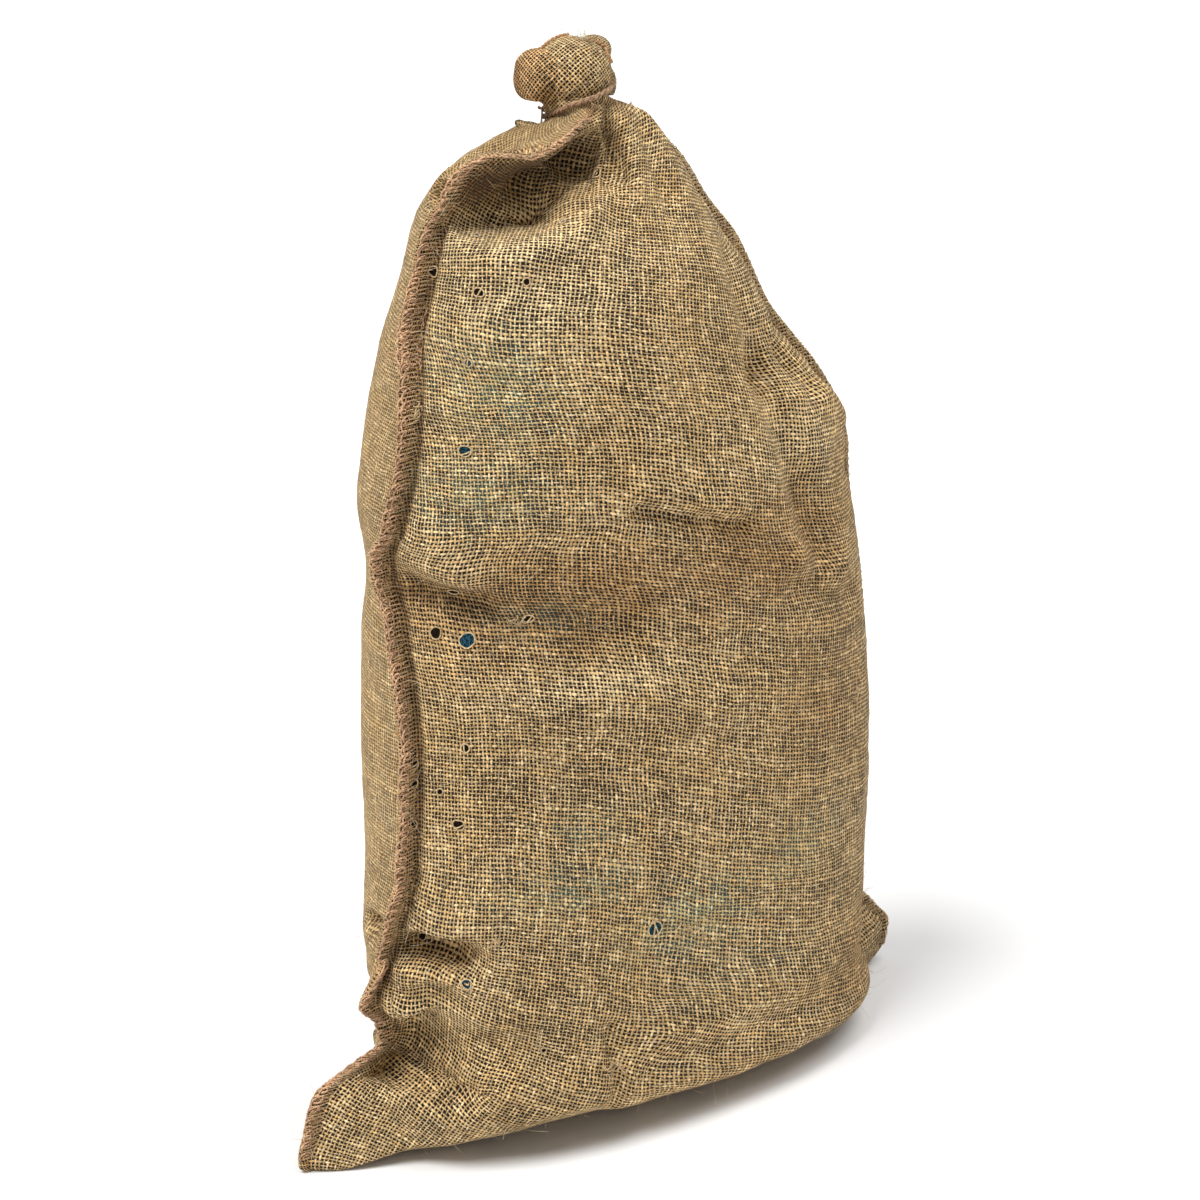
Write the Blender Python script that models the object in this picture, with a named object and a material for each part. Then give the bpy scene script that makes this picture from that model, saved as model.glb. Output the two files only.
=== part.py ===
"""A filled hessian sack, tied at the neck and standing on its folded bottom.

The sack is one length of cloth, folded at the bottom and oversewn up both sides, so the
filled body is one solid: flat base, two corner ears, full belly, drawn-in shoulders, gathered
neck, and the bunched mouth above the tie. A welt of seam allowance stands out along each
side. The tie is one turn of twine round the neck, with a knot behind and two free ends.

Metres, +Z up, the front panel faces -Y and the left seam is at -X. The origin lies on the
flat base, in the middle of the sack. A level is the height of a ring at its middle.
"""

import bpy
import bmesh
import numpy as np
from mathutils import Vector

# ---- Rings of the body -----------------------------------------------------------------

FRONT_STEPS = 24            # faces across the front panel, and across the back one
BASE_RINGS = 5
EAR_RINGS = 14
BELLY_RINGS = 21
SHOULDER_RINGS = 10
NECK_RINGS = 12
MOUTH_RINGS = 11
BASE_TOP = 0.014
EAR_TOP = 0.160
BELLY_TOP = 0.540
SHOULDER_TOP = 0.660
TIE_LEVEL = 0.690
NECK_TOP = 0.700
MOUTH_TOP = 0.739

# Where the ring's left and right ends lie.
OUTLINE_COLUMNS = ("level", "left_x", "left_z", "right_x", "right_z")
OUTLINE = (
    (0.000, -0.222, 0.000, 0.246, 0.000),
    (0.004, -0.226, 0.004, 0.256, 0.004),
    (0.014, -0.224, 0.014, 0.264, 0.014),
    (0.030, -0.218, 0.030, 0.266, 0.030),
    (0.046, -0.213, 0.046, 0.254, 0.046),
    (0.058, -0.205, 0.058, 0.244, 0.058),
    (0.068, -0.178, 0.068, 0.234, 0.068),
    (0.078, -0.158, 0.078, 0.227, 0.078),
    (0.094, -0.160, 0.094, 0.220, 0.094),
    (0.114, -0.175, 0.114, 0.221, 0.114),
    (0.132, -0.1705, 0.132, 0.221, 0.132),
    (0.160, -0.161, 0.160, 0.222, 0.160),
    (0.220, -0.160, 0.220, 0.220, 0.220),
    (0.300, -0.159, 0.300, 0.214, 0.300),
    (0.360, -0.157, 0.360, 0.207, 0.360),
    (0.400, -0.151, 0.400, 0.201, 0.400),
    (0.450, -0.156, 0.450, 0.190, 0.450),
    (0.490, -0.150, 0.490, 0.169, 0.490),
    (0.540, -0.136, 0.540, 0.130, 0.540),
    (0.590, -0.118, 0.592, 0.107, 0.588),
    (0.625, -0.107, 0.632, 0.0855, 0.618),
    (0.650, -0.094, 0.653, 0.070, 0.647),
    (0.668, -0.066, 0.666, 0.056, 0.664),
    (0.679, -0.039, 0.6765, 0.038, 0.682),
    (0.686, -0.0210, 0.680, 0.0170, 0.692),
    (0.690, -0.0200, 0.684, 0.0160, 0.696),
    (0.694, -0.0205, 0.688, 0.0165, 0.700),
    (0.698, -0.022, 0.691, 0.024, 0.703),
    (0.705, -0.028, 0.697, 0.027, 0.709),
    (0.714, -0.033, 0.704, 0.025, 0.716),
    (0.724, -0.030, 0.712, 0.023, 0.724),
    (0.732, -0.022, 0.719, 0.018, 0.730),
    (0.737, -0.013, 0.723, 0.010, 0.732),
    (0.739, -0.006, 0.726, 0.003, 0.729),
)

# How far the two panels stand out of the seam line, how far the front tips up, and how much
# more than its left half the right half of a panel stands out.
DEPTH_COLUMNS = ("level", "middle_y", "front", "back", "tip", "skew")
DEPTH = (
    (0.000, 0.000, 0.044, 0.066, 0.000, 0.42),
    (0.004, 0.000, 0.057, 0.077, 0.000, 0.34),
    (0.014, 0.000, 0.079, 0.088, 0.000, 0.24),
    (0.026, 0.000, 0.095, 0.093, 0.000, 0.14),
    (0.042, 0.000, 0.102, 0.096, 0.000, 0.06),
    (0.100, 0.000, 0.101, 0.098, 0.000, 0.00),
    (0.300, 0.000, 0.097, 0.097, 0.000, 0.00),
    (0.450, 0.000, 0.093, 0.094, 0.000, 0.00),
    (0.540, 0.002, 0.086, 0.088, 0.000, 0.00),
    (0.600, 0.004, 0.075, 0.076, 0.000, 0.00),
    (0.640, 0.005, 0.058, 0.060, 0.000, 0.00),
    (0.668, 0.005, 0.042, 0.044, 0.002, 0.00),
    (0.679, 0.004, 0.031, 0.033, 0.006, 0.00),
    (0.686, 0.004, 0.0195, 0.0195, 0.009, 0.00),
    (0.690, 0.004, 0.0185, 0.0185, 0.009, 0.00),
    (0.694, 0.004, 0.0185, 0.0185, 0.009, 0.00),
    (0.705, 0.008, 0.028, 0.028, 0.009, 0.00),
    (0.714, 0.012, 0.030, 0.030, 0.006, 0.00),
    (0.724, 0.014, 0.027, 0.027, 0.004, 0.00),
    (0.732, 0.016, 0.019, 0.019, 0.002, 0.00),
    (0.739, 0.016, 0.006, 0.006, 0.000, 0.00),
)

# The shape of the ring: how far a flap of cloth stands out at each end, how fast it widens,
# and how round (0.5) or square (less) each filled end is.
FORM_COLUMNS = ("level", "left_flap", "right_flap", "flare", "left_corner", "right_corner")
FORM = (
    (0.000, 0.060, 0.040, 0.45, 0.42, 0.36),
    (0.014, 0.056, 0.044, 0.45, 0.42, 0.36),
    (0.030, 0.050, 0.044, 0.38, 0.42, 0.34),
    (0.046, 0.040, 0.036, 0.28, 0.42, 0.34),
    (0.060, 0.026, 0.026, 0.22, 0.42, 0.34),
    (0.074, 0.010, 0.012, 0.20, 0.42, 0.36),
    (0.092, 0.014, 0.002, 0.20, 0.42, 0.38),
    (0.114, 0.016, 0.000, 0.20, 0.42, 0.40),
    (0.160, 0.000, 0.000, 0.20, 0.42, 0.40),
    (0.450, 0.000, 0.000, 0.20, 0.42, 0.42),
    (0.600, 0.000, 0.000, 0.20, 0.44, 0.44),
    (0.668, 0.000, 0.000, 0.20, 0.50, 0.50),
    (0.739, 0.000, 0.000, 0.20, 0.50, 0.50),
)

# How far each seam has turned from its end of the ring towards the front, along the cloth.
SEAM_COLUMNS = ("level", "left_turn", "right_turn")
SEAM = (
    (0.000, 0.000, 0.000),
    (0.090, 0.000, 0.000),
    (0.145, 0.006, 0.008),
    (0.176, 0.015, 0.014),
    (0.215, 0.026, 0.018),
    (0.300, 0.030, 0.018),
    (0.350, 0.027, 0.016),
    (0.390, 0.018, 0.012),
    (0.414, 0.008, 0.014),
    (0.433, 0.012, 0.018),
    (0.455, 0.026, 0.018),
    (0.500, 0.030, 0.014),
    (0.540, 0.022, 0.012),
    (0.575, 0.008, 0.010),
    (0.630, 0.006, 0.006),
    (0.648, 0.006, 0.002),
    (0.660, 0.014, 0.000),
    (0.670, 0.026, 0.000),
    (0.680, 0.036, 0.000),
    (0.690, 0.032, 0.000),
    (0.739, 0.020, 0.000),
)
SQUARE = 2.4                # how full the middle of every ring is
FLAP_BLEND = 4              # how sharply a flap joins the filled part
FLAP_BLUNT = 24             # how blunt the flap's end is, where the two panels meet
FLAP_LIMIT = 0.5            # a flap is never thicker than this share of the filled depth

# The welt of seam allowance: how far it stands out at each side, and its thickness.
WELT_COLUMNS = ("level", "left_reach", "right_reach", "thick")
WELT = (
    (0.000, 0.004, 0.003, 0.005),
    (0.020, 0.007, 0.005, 0.005),
    (0.120, 0.009, 0.007, 0.005),
    (0.200, 0.011, 0.009, 0.006),
    (0.600, 0.011, 0.009, 0.006),
    (0.670, 0.008, 0.004, 0.005),
    (0.684, 0.0006, 0.0006, 0.003),
    (0.739, 0.0006, 0.0006, 0.002),
)
# The welt's profile, in shares of its thickness and its reach.
WELT_PROFILE = ((-0.50, 0.35), (-0.42, 0.80), (0.0, 1.0), (0.42, 0.80), (0.50, 0.35))
WELT_POINTS = len(WELT_PROFILE)
EDGE_HALF = 0.007           # half the thickness of the cloth layers where an ear ends

# Folds of the filled cloth: soft troughs (push below 0) and ridges, each along a line.
FOLD_COLUMNS = ("side", "x1", "z1", "x2", "z2", "width", "push")
FRONT = -1
BACK = 1
FOLDS = (
    # under the left shoulder, where the seam overhangs
    (FRONT, -0.090, 0.646, -0.058, 0.652, 0.014, -0.034),
    (FRONT, -0.058, 0.652, -0.018, 0.670, 0.012, -0.020),
    (FRONT, -0.090, 0.618, -0.030, 0.640, 0.012, 0.006),
    (FRONT, 0.006, 0.690, -0.006, 0.656, 0.006, -0.008),
    # down the right shoulder and side
    (FRONT, 0.084, 0.590, 0.094, 0.520, 0.014, -0.010),
    (FRONT, 0.094, 0.520, 0.134, 0.385, 0.014, -0.012),
    (FRONT, 0.124, 0.526, 0.138, 0.494, 0.008, -0.012),
    (FRONT, 0.134, 0.497, 0.190, 0.452, 0.009, 0.007),
    (FRONT, 0.108, 0.391, 0.150, 0.368, 0.012, 0.007),
    (FRONT, 0.110, 0.372, 0.165, 0.345, 0.014, -0.006),
    # across the front
    (FRONT, -0.021, 0.456, 0.060, 0.427, 0.007, -0.005),
    (FRONT, -0.020, 0.470, 0.050, 0.442, 0.012, 0.003),
    (FRONT, -0.134, 0.404, -0.040, 0.378, 0.018, -0.005),
    (FRONT, -0.040, 0.378, 0.070, 0.335, 0.020, -0.004),
    (FRONT, -0.137, 0.350, 0.039, 0.308, 0.022, 0.004),
    (FRONT, -0.045, 0.094, -0.041, 0.036, 0.007, -0.004),
    (FRONT, -0.080, 0.000, -0.056, 0.004, 0.024, -0.008),
    # along the left seam
    (FRONT, -0.150, 0.412, -0.122, 0.407, 0.010, -0.010),
    (FRONT, -0.146, 0.452, -0.132, 0.432, 0.014, 0.007),
    (FRONT, -0.135, 0.560, -0.105, 0.545, 0.016, -0.006),
    (FRONT, -0.138, 0.515, -0.118, 0.505, 0.014, -0.005),
    # the left ear: a roll, a dent over it and a dent under it
    (FRONT, -0.165, 0.158, -0.138, 0.158, 0.010, -0.018),
    (FRONT, -0.168, 0.125, -0.158, 0.100, 0.014, 0.008),
    (FRONT, -0.146, 0.120, -0.140, 0.078, 0.013, -0.009),
    (FRONT, -0.178, 0.072, -0.142, 0.060, 0.010, -0.022),
    (FRONT, -0.190, 0.040, -0.150, 0.030, 0.016, 0.005),
    # the right ear
    (FRONT, 0.222, 0.086, 0.206, 0.060, 0.010, -0.006),
    # behind
    (BACK, -0.060, 0.600, -0.020, 0.640, 0.016, -0.010),
    (BACK, 0.010, 0.660, 0.050, 0.560, 0.016, -0.010),
    (BACK, 0.060, 0.560, 0.120, 0.420, 0.018, -0.008),
    (BACK, -0.120, 0.470, -0.020, 0.440, 0.014, -0.006),
    (BACK, -0.060, 0.360, 0.110, 0.330, 0.022, -0.005),
    (BACK, -0.165, 0.050, -0.115, 0.044, 0.026, -0.026),
)
SEAM_CALM = 0.010           # the welts stiffen the cloth: a fold dies out this near a seam

# The gathers round the neck and the mouth: how deep they are.
GATHER_COLUMNS = ("level", "depth")
GATHERS = (
    (0.000, 0.0000),
    (0.610, 0.0000),
    (0.650, 0.0022),
    (0.672, 0.0030),
    (0.686, 0.0003),
    (0.696, 0.0003),
    (0.706, 0.0022),
    (0.720, 0.0036),
    (0.734, 0.0026),
    (0.739, 0.0004),
)
# Each wave of gathers: its share of the depth, how many there are, and where it starts.
GATHER_WAVES = ((0.50, 5, 0.6), (0.50, 9, 2.1), (0.30, 3, 4.0))


# ---- The tie ---------------------------------------------------------------------------

TWINE_RADIUS = 0.0022
TWINE_GAP = 0.0020          # from the round that the neck is drawn to, which its gathers pass
TWINE_SIDES = 8
TURN_STEPS = 40
KNOT_RADIUS = 0.0054
KNOT_STRETCH = (1.25, 0.90, 0.85)
KNOT_SEGMENTS = 12
KNOT_RINGS = 8
KNOT_OUT = 0.0285           # from the middle of the neck to the knot behind it
KNOT_DOWN = 0.0088
END_RADIUS = 0.0018
END_STEPS = 10
END_BEVEL = 2               # rounds each end to twelve sides
# The two free ends, from inside the knot outwards, lying on the shoulders.
RIGHT_END = (
    (0.000, 0.0335, 0.6812), (0.014, 0.0345, 0.6805),
    (0.024, 0.0305, 0.6812), (0.037, 0.0190, 0.6856),
)
LEFT_END = (
    (-0.004, 0.0335, 0.6812), (-0.020, 0.0320, 0.6800),
    (-0.030, 0.0245, 0.6810), (-0.034, 0.0130, 0.6830),
)

JUTE = (0.44, 0.30, 0.16, 1.0)
TWINE = (0.40, 0.22, 0.12, 1.0)

SECTION_SAMPLES = 720
MIN_SLOPE = 1e-9


def columns(table, names, level):
    """Read every column of a table at the given levels, on a smooth curve with no overshoot."""
    rows = np.array(table, dtype=float)
    knots = rows[:, 0]
    found = {}
    for index, name in enumerate(names[1:], start=1):
        found[name] = monotone_curve(knots, rows[:, index], level)
    return found


def monotone_curve(knots, values, at):
    """A cubic through the rows whose slopes never swing past a row's own value."""
    step = np.diff(knots)
    rise = np.diff(values) / step
    before, after = rise[:-1], rise[1:]
    weight = (step[1:] + 2 * step[:-1], 2 * step[1:] + step[:-1])
    turning = before * after <= 0
    safe_before = np.where(turning, 1.0, before)
    safe_after = np.where(turning, 1.0, after)
    inner = (weight[0] + weight[1]) / (weight[0] / safe_after + weight[1] / safe_before)
    slope = np.concatenate(([rise[0]], np.where(turning, 0.0, inner), [rise[-1]]))
    at = np.clip(at, knots[0], knots[-1])
    i = np.clip(np.searchsorted(knots, at) - 1, 0, len(step) - 1)
    h = step[i]
    t = (at - knots[i]) / h
    start = (1 + 2 * t) * (1 - t) ** 2 * values[i] + t * (1 - t) ** 2 * h * slope[i]
    end = t * t * (3 - 2 * t) * values[i + 1] - t * t * (1 - t) * h * slope[i + 1]
    return start + end


def ring_levels():
    """Rings are close together where the base, the ears and the gathered mouth need them."""
    spans = (
        (0.0, BASE_TOP, BASE_RINGS),
        (BASE_TOP, EAR_TOP, EAR_RINGS),
        (EAR_TOP, BELLY_TOP, BELLY_RINGS),
        (BELLY_TOP, SHOULDER_TOP, SHOULDER_RINGS),
        (SHOULDER_TOP, NECK_TOP, NECK_RINGS),
        (NECK_TOP, MOUTH_TOP, MOUTH_RINGS),
    )
    levels = [0.0]
    for low, high, count in spans:
        levels.extend(np.linspace(low, high, count + 1)[1:])
    return np.array(levels)


def section(row):
    """A closed outline from the left end, along the front to the right end, and back."""
    angle = np.linspace(0.0, np.pi, SECTION_SAMPLES + 1)
    left, right = row["left_x"], row["right_x"]
    across = -np.cos(angle)
    x = (left + right) / 2 + (right - left) / 2 * across
    core_left, core_right = left + row["left_flap"], right - row["right_flap"]
    share = np.clip((2 * x - core_left - core_right) / (core_right - core_left), -1, 1)
    corner = np.where(share < 0, row["left_corner"], row["right_corner"])
    core = (1 - np.abs(share) ** SQUARE) ** corner
    wedge = EDGE_HALF + row["flare"] * np.minimum(x - left, right - x)
    rounded = np.sqrt(np.clip(1 - np.abs(across) ** FLAP_BLUNT, 0, 1))

    def bulge(depth):
        depth = depth * (1 + row["skew"] * across)
        flap = np.minimum(wedge, FLAP_LIMIT * depth) * rounded
        return ((core * depth) ** FLAP_BLEND + flap ** FLAP_BLEND) ** (1 / FLAP_BLEND)

    outline_x = np.concatenate((x, x[::-1][1:]))
    outline_y = np.concatenate((-bulge(row["front"]), bulge(row["back"])[::-1][1:]))
    return outline_x, outline_y


def welt_points(seam, outward, along, reach, thick):
    """The points over a welt: up one side, round its rounded edge and down the other."""
    return [seam + along * (side * thick) + outward * (out * reach) for side, out in WELT_PROFILE]


def ring(row):
    """The points of one ring, from the left seam along the front panel and back again."""
    x, y = section(row)
    run = np.concatenate(([0.0], np.cumsum(np.hypot(np.diff(x), np.diff(y)))))
    whole = run[-1]
    front_run = run[SECTION_SAMPLES]
    left_seam = row["left_turn"]
    right_seam = front_run - row["right_turn"]
    half = row["thick"] / 2

    def point(at):
        at = np.mod(at, whole)
        return np.stack((np.interp(at, run, x), np.interp(at, run, y)), axis=-1)

    def seam_frame(at):
        along = point(at + half) - point(at - half)
        along = along / np.linalg.norm(along)
        return point(at), np.array((along[1], -along[0])), along

    front_points = point(np.linspace(left_seam + half, right_seam - half, FRONT_STEPS + 1))
    back_points = point(np.linspace(right_seam + half, whole + left_seam - half, FRONT_STEPS + 1))
    spot, outward, along = seam_frame(right_seam)
    right_welt = welt_points(spot, outward, along, row["right_reach"], row["thick"])
    spot, outward, along = seam_frame(left_seam)
    left_welt = welt_points(spot, outward, along, row["left_reach"], row["thick"])
    flat = np.concatenate((front_points, right_welt, back_points, left_welt))
    share = (flat[:, 0] - row["left_x"]) / (row["right_x"] - row["left_x"])
    z = row["left_z"] + (row["right_z"] - row["left_z"]) * share
    z = z - row["tip"] * flat[:, 1] / row["front"]
    return np.column_stack((flat[:, 0], flat[:, 1] + row["middle_y"], z))


def body_grid(levels):
    """Every ring of the sack, before its folds: an array of rings, points, coordinates."""
    rows = {}
    for table, names in ((OUTLINE, OUTLINE_COLUMNS), (DEPTH, DEPTH_COLUMNS),
                         (FORM, FORM_COLUMNS), (SEAM, SEAM_COLUMNS), (WELT, WELT_COLUMNS)):
        rows.update(columns(table, names, levels))
    count = len(levels)
    return np.array([ring({name: rows[name][i] for name in rows}) for i in range(count)])


def grid_normals(grid):
    """Outward directions of a grid of rings."""
    along = np.roll(grid, -1, axis=1) - np.roll(grid, 1, axis=1)
    up = np.gradient(grid, axis=0)
    normal = np.cross(along, up)
    size = np.linalg.norm(normal, axis=2, keepdims=True)
    return normal / np.maximum(size, MIN_SLOPE)


def segment_distance(x, z, fold):
    """How far points of a panel lie from a fold's line."""
    x1, z1, x2, z2 = fold
    run_x, run_z = x2 - x1, z2 - z1
    share = ((x - x1) * run_x + (z - z1) * run_z) / max(run_x ** 2 + run_z ** 2, MIN_SLOPE)
    share = np.clip(share, 0, 1)
    return np.hypot(x - x1 - share * run_x, z - z1 - share * run_z)


def carry_welts(shift):
    """A welt moves as one with the cloth that it grows from."""
    right_base = (FRONT_STEPS, FRONT_STEPS + WELT_POINTS + 1)
    left_base = (2 * FRONT_STEPS + WELT_POINTS + 1, 0)
    for first, last in (right_base, left_base):
        mean = (shift[:, first] + shift[:, last]) / 2
        for step in range(WELT_POINTS + 2):
            shift[:, (first + step) % shift.shape[1]] = mean


def seam_calm(grid):
    """How freely the cloth folds: nothing at the seams, all of it a little way off."""
    calm = np.zeros(grid.shape[:2])
    for first in (0, FRONT_STEPS + WELT_POINTS + 1):
        panel = grid[:, first:first + FRONT_STEPS + 1]
        run = np.linalg.norm(np.diff(panel, axis=1), axis=2).cumsum(axis=1)
        run = np.concatenate((np.zeros((len(grid), 1)), run), axis=1)
        near = np.minimum(run, run[:, -1:] - run)
        calm[:, first:first + FRONT_STEPS + 1] = 1 - np.exp(-((near / SEAM_CALM) ** 2))
    return calm


def gathers(grid, levels):
    """The waves of cloth that the tie draws together."""
    depth = columns(GATHERS, GATHER_COLUMNS, levels)["depth"]
    turn = np.linspace(0, 2 * np.pi, grid.shape[1], endpoint=False)
    wave = sum(share * np.cos(count * turn + start) for share, count, start in GATHER_WAVES)
    return depth[:, None] * wave


def fold_grid(grid, levels):
    """Press every fold into the panels, and gather the neck."""
    normal = grid_normals(grid)
    x, z = grid[..., 0], grid[..., 2]
    push = np.zeros_like(x)
    for side, x1, z1, x2, z2, width, depth in FOLDS:
        near = np.exp(-((segment_distance(x, z, (x1, z1, x2, z2)) / width) ** 2))
        facing = np.clip(0.5 + 2.0 * side * normal[..., 1], 0, 1)
        push += depth * near * facing
    push = push * seam_calm(grid) + gathers(grid, levels)
    shift = normal * push[..., None]
    carry_welts(shift)
    moved = grid + shift
    moved[..., 2] = np.maximum(moved[..., 2], 0.0)
    moved[0, :, 2] = 0.0
    return moved


def closed_mesh(name, grid):
    """Join the rings with faces and close the two ends."""
    rings, around = grid.shape[:2]
    faces = []
    for i in range(rings - 1):
        for j in range(around):
            k = (j + 1) % around
            low, high = i * around, (i + 1) * around
            faces.append((low + j, low + k, high + k, high + j))
    faces.append(tuple(reversed(range(around))))
    faces.append(tuple(range((rings - 1) * around, rings * around)))
    mesh = bpy.data.meshes.new(name)
    mesh.from_pydata(grid.reshape(-1, 3).tolist(), [], faces)
    mesh.validate()
    return mesh


def material(name, colour, roughness):
    found = bpy.data.materials.new(name)
    found.use_nodes = True
    shader = found.node_tree.nodes["Principled BSDF"]
    shader.inputs["Base Color"].default_value = colour
    shader.inputs["Roughness"].default_value = roughness
    shader.inputs["Metallic"].default_value = 0.0
    return found


def place(name, mesh, finish):
    thing = bpy.data.objects.new(name, mesh)
    bpy.context.scene.collection.objects.link(thing)
    mesh.materials.append(finish)
    mesh.shade_smooth()
    return thing


def build_sack():
    levels = ring_levels()
    grid = fold_grid(body_grid(levels), levels)
    return place("sack", closed_mesh("sack", grid), material("jute_cloth", JUTE, 0.95))


def neck_frame():
    """The middle of the tied neck, and the half axes of the round it is drawn to."""
    level = np.array([TIE_LEVEL])
    row = {**columns(OUTLINE, OUTLINE_COLUMNS, level), **columns(DEPTH, DEPTH_COLUMNS, level)}
    row = {name: float(value[0]) for name, value in row.items()}
    centre = np.array((
        (row["left_x"] + row["right_x"]) / 2, row["middle_y"], (row["left_z"] + row["right_z"]) / 2,
    ))
    across = np.array((row["right_x"] - row["left_x"], 0.0, row["right_z"] - row["left_z"])) / 2
    behind = np.array((0.0, row["back"], -row["tip"]))
    return centre, across, behind


def twine_turn(centre, across, behind):
    """One closed turn of twine round the neck."""
    axis = np.cross(across, behind)
    axis = axis / np.linalg.norm(axis)
    section_turns = np.linspace(0, 2 * np.pi, TWINE_SIDES, endpoint=False)
    rings = []
    for turn in np.linspace(0, 2 * np.pi, TURN_STEPS, endpoint=False):
        out = across * np.cos(turn) + behind * np.sin(turn)
        reach = np.linalg.norm(out)
        out = out / reach
        middle = centre + out * (reach + TWINE_GAP + TWINE_RADIUS)
        rings.append([
            middle + TWINE_RADIUS * (out * np.cos(a) + axis * np.sin(a)) for a in section_turns
        ])
    faces = []
    for i in range(TURN_STEPS):
        for j in range(TWINE_SIDES):
            k, m = (j + 1) % TWINE_SIDES, (i + 1) % TURN_STEPS
            faces.append((
                i * TWINE_SIDES + j, i * TWINE_SIDES + k, m * TWINE_SIDES + k, m * TWINE_SIDES + j,
            ))
    mesh = bpy.data.meshes.new("tie")
    mesh.from_pydata(np.array(rings).reshape(-1, 3).tolist(), [], faces)
    return mesh


def knot_mesh(middle):
    work = bmesh.new()
    bmesh.ops.create_uvsphere(
        work, u_segments=KNOT_SEGMENTS, v_segments=KNOT_RINGS, radius=KNOT_RADIUS,
    )
    bmesh.ops.scale(work, vec=KNOT_STRETCH, verts=work.verts)
    bmesh.ops.translate(work, vec=Vector(middle), verts=work.verts)
    mesh = bpy.data.meshes.new("knot_shape")
    work.to_mesh(mesh)
    work.free()
    return mesh


def end_mesh(name, points):
    """A short length of twine through its points, with closed ends."""
    share = np.linspace(0, 1, len(points))
    at = np.linspace(0, 1, END_STEPS)
    route = np.array(points)
    smooth = np.column_stack([monotone_curve(share, route[:, k], at) for k in range(3)])
    curve = bpy.data.curves.new(name, "CURVE")
    curve.dimensions = "3D"
    curve.bevel_depth = END_RADIUS
    curve.bevel_resolution = END_BEVEL
    curve.use_fill_caps = True
    spline = curve.splines.new("POLY")
    spline.points.add(END_STEPS - 1)
    for point, place_at in zip(spline.points, smooth):
        point.co = (*place_at, 1.0)
    guide = bpy.data.objects.new(name, curve)
    mesh = bpy.data.meshes.new_from_object(guide)
    bpy.data.objects.remove(guide, do_unlink=True)
    return mesh


def join_into(thing, name, mesh):
    """Join another shape to a thing; the shape's own object is only a guide."""
    guide = bpy.data.objects.new(name, mesh)
    bpy.context.scene.collection.objects.link(guide)
    guide.hide_render = True
    guide.display_type = "WIRE"
    union = thing.modifiers.new(name, "BOOLEAN")
    union.operation = "UNION"
    union.solver = "EXACT"
    union.object = guide


def build_tie():
    centre, across, behind = neck_frame()
    tie = place("tie", twine_turn(centre, across, behind), material("jute_twine", TWINE, 0.9))
    join_into(tie, "knot_shape", knot_mesh(centre + np.array((0.0, KNOT_OUT, -KNOT_DOWN))))
    join_into(tie, "right_end_shape", end_mesh("right_end_shape", RIGHT_END))
    join_into(tie, "left_end_shape", end_mesh("left_end_shape", LEFT_END))
    return tie


def remove_everything():
    for thing in list(bpy.data.objects):
        bpy.data.objects.remove(thing, do_unlink=True)


def main():
    remove_everything()
    build_sack()
    build_tie()


main()
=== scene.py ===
"""The looks of the filled hessian sack: cloth, sewing, twine, snags, stray fibres, camera, light.

Metres, +Z up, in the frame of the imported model. The front panel faces -Y, the left seam is at -X.
"""

import bpy
import numpy as np
from mathutils import Matrix, Vector


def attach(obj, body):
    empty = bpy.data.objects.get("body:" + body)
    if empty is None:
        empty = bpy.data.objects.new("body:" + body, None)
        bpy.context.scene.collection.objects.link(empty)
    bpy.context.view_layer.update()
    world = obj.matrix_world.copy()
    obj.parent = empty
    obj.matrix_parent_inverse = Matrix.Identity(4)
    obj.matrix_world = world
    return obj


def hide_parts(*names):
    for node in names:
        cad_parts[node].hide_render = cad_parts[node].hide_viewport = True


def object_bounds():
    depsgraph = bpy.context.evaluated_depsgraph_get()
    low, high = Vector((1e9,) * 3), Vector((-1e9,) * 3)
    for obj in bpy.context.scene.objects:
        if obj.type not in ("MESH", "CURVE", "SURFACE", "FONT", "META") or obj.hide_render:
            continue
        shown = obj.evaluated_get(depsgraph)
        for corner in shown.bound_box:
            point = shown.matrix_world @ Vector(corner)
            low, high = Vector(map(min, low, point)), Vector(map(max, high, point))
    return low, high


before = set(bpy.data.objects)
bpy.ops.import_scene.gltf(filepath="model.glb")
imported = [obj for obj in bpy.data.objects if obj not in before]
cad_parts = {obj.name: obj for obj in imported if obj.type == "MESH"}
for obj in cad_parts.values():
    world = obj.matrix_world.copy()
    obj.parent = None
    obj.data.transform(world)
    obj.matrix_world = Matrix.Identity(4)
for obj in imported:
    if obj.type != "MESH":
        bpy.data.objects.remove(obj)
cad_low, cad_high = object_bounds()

BODY = "root"

# ---- The camera ------------------------------------------------------------------------

CAMERA_TARGET = (0.0, -0.018, 0.364)
CAMERA_DISTANCE = 2.17
CAMERA_AZIMUTH = -35.0
CAMERA_ELEVATION = 24.0
CAMERA_LENS_MM = 100.0
CAMERA_SENSOR_MM = 36.0
CAMERA_CLIP = 20.0

# ---- The cloth's form: the solid's own rows, read at more rings and columns --------------

FRONT_STEPS = 150           # faces across the front panel
BACK_STEPS = 96             # faces across the back panel
RING_SPANS = (              # from level, to level, how many rings
    (0.000, 0.014, 10),
    (0.014, 0.160, 76),
    (0.160, 0.540, 142),
    (0.540, 0.660, 60),
    (0.660, 0.700, 32),
    (0.700, 0.739, 40),
)
TIE_LEVEL = 0.690

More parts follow.
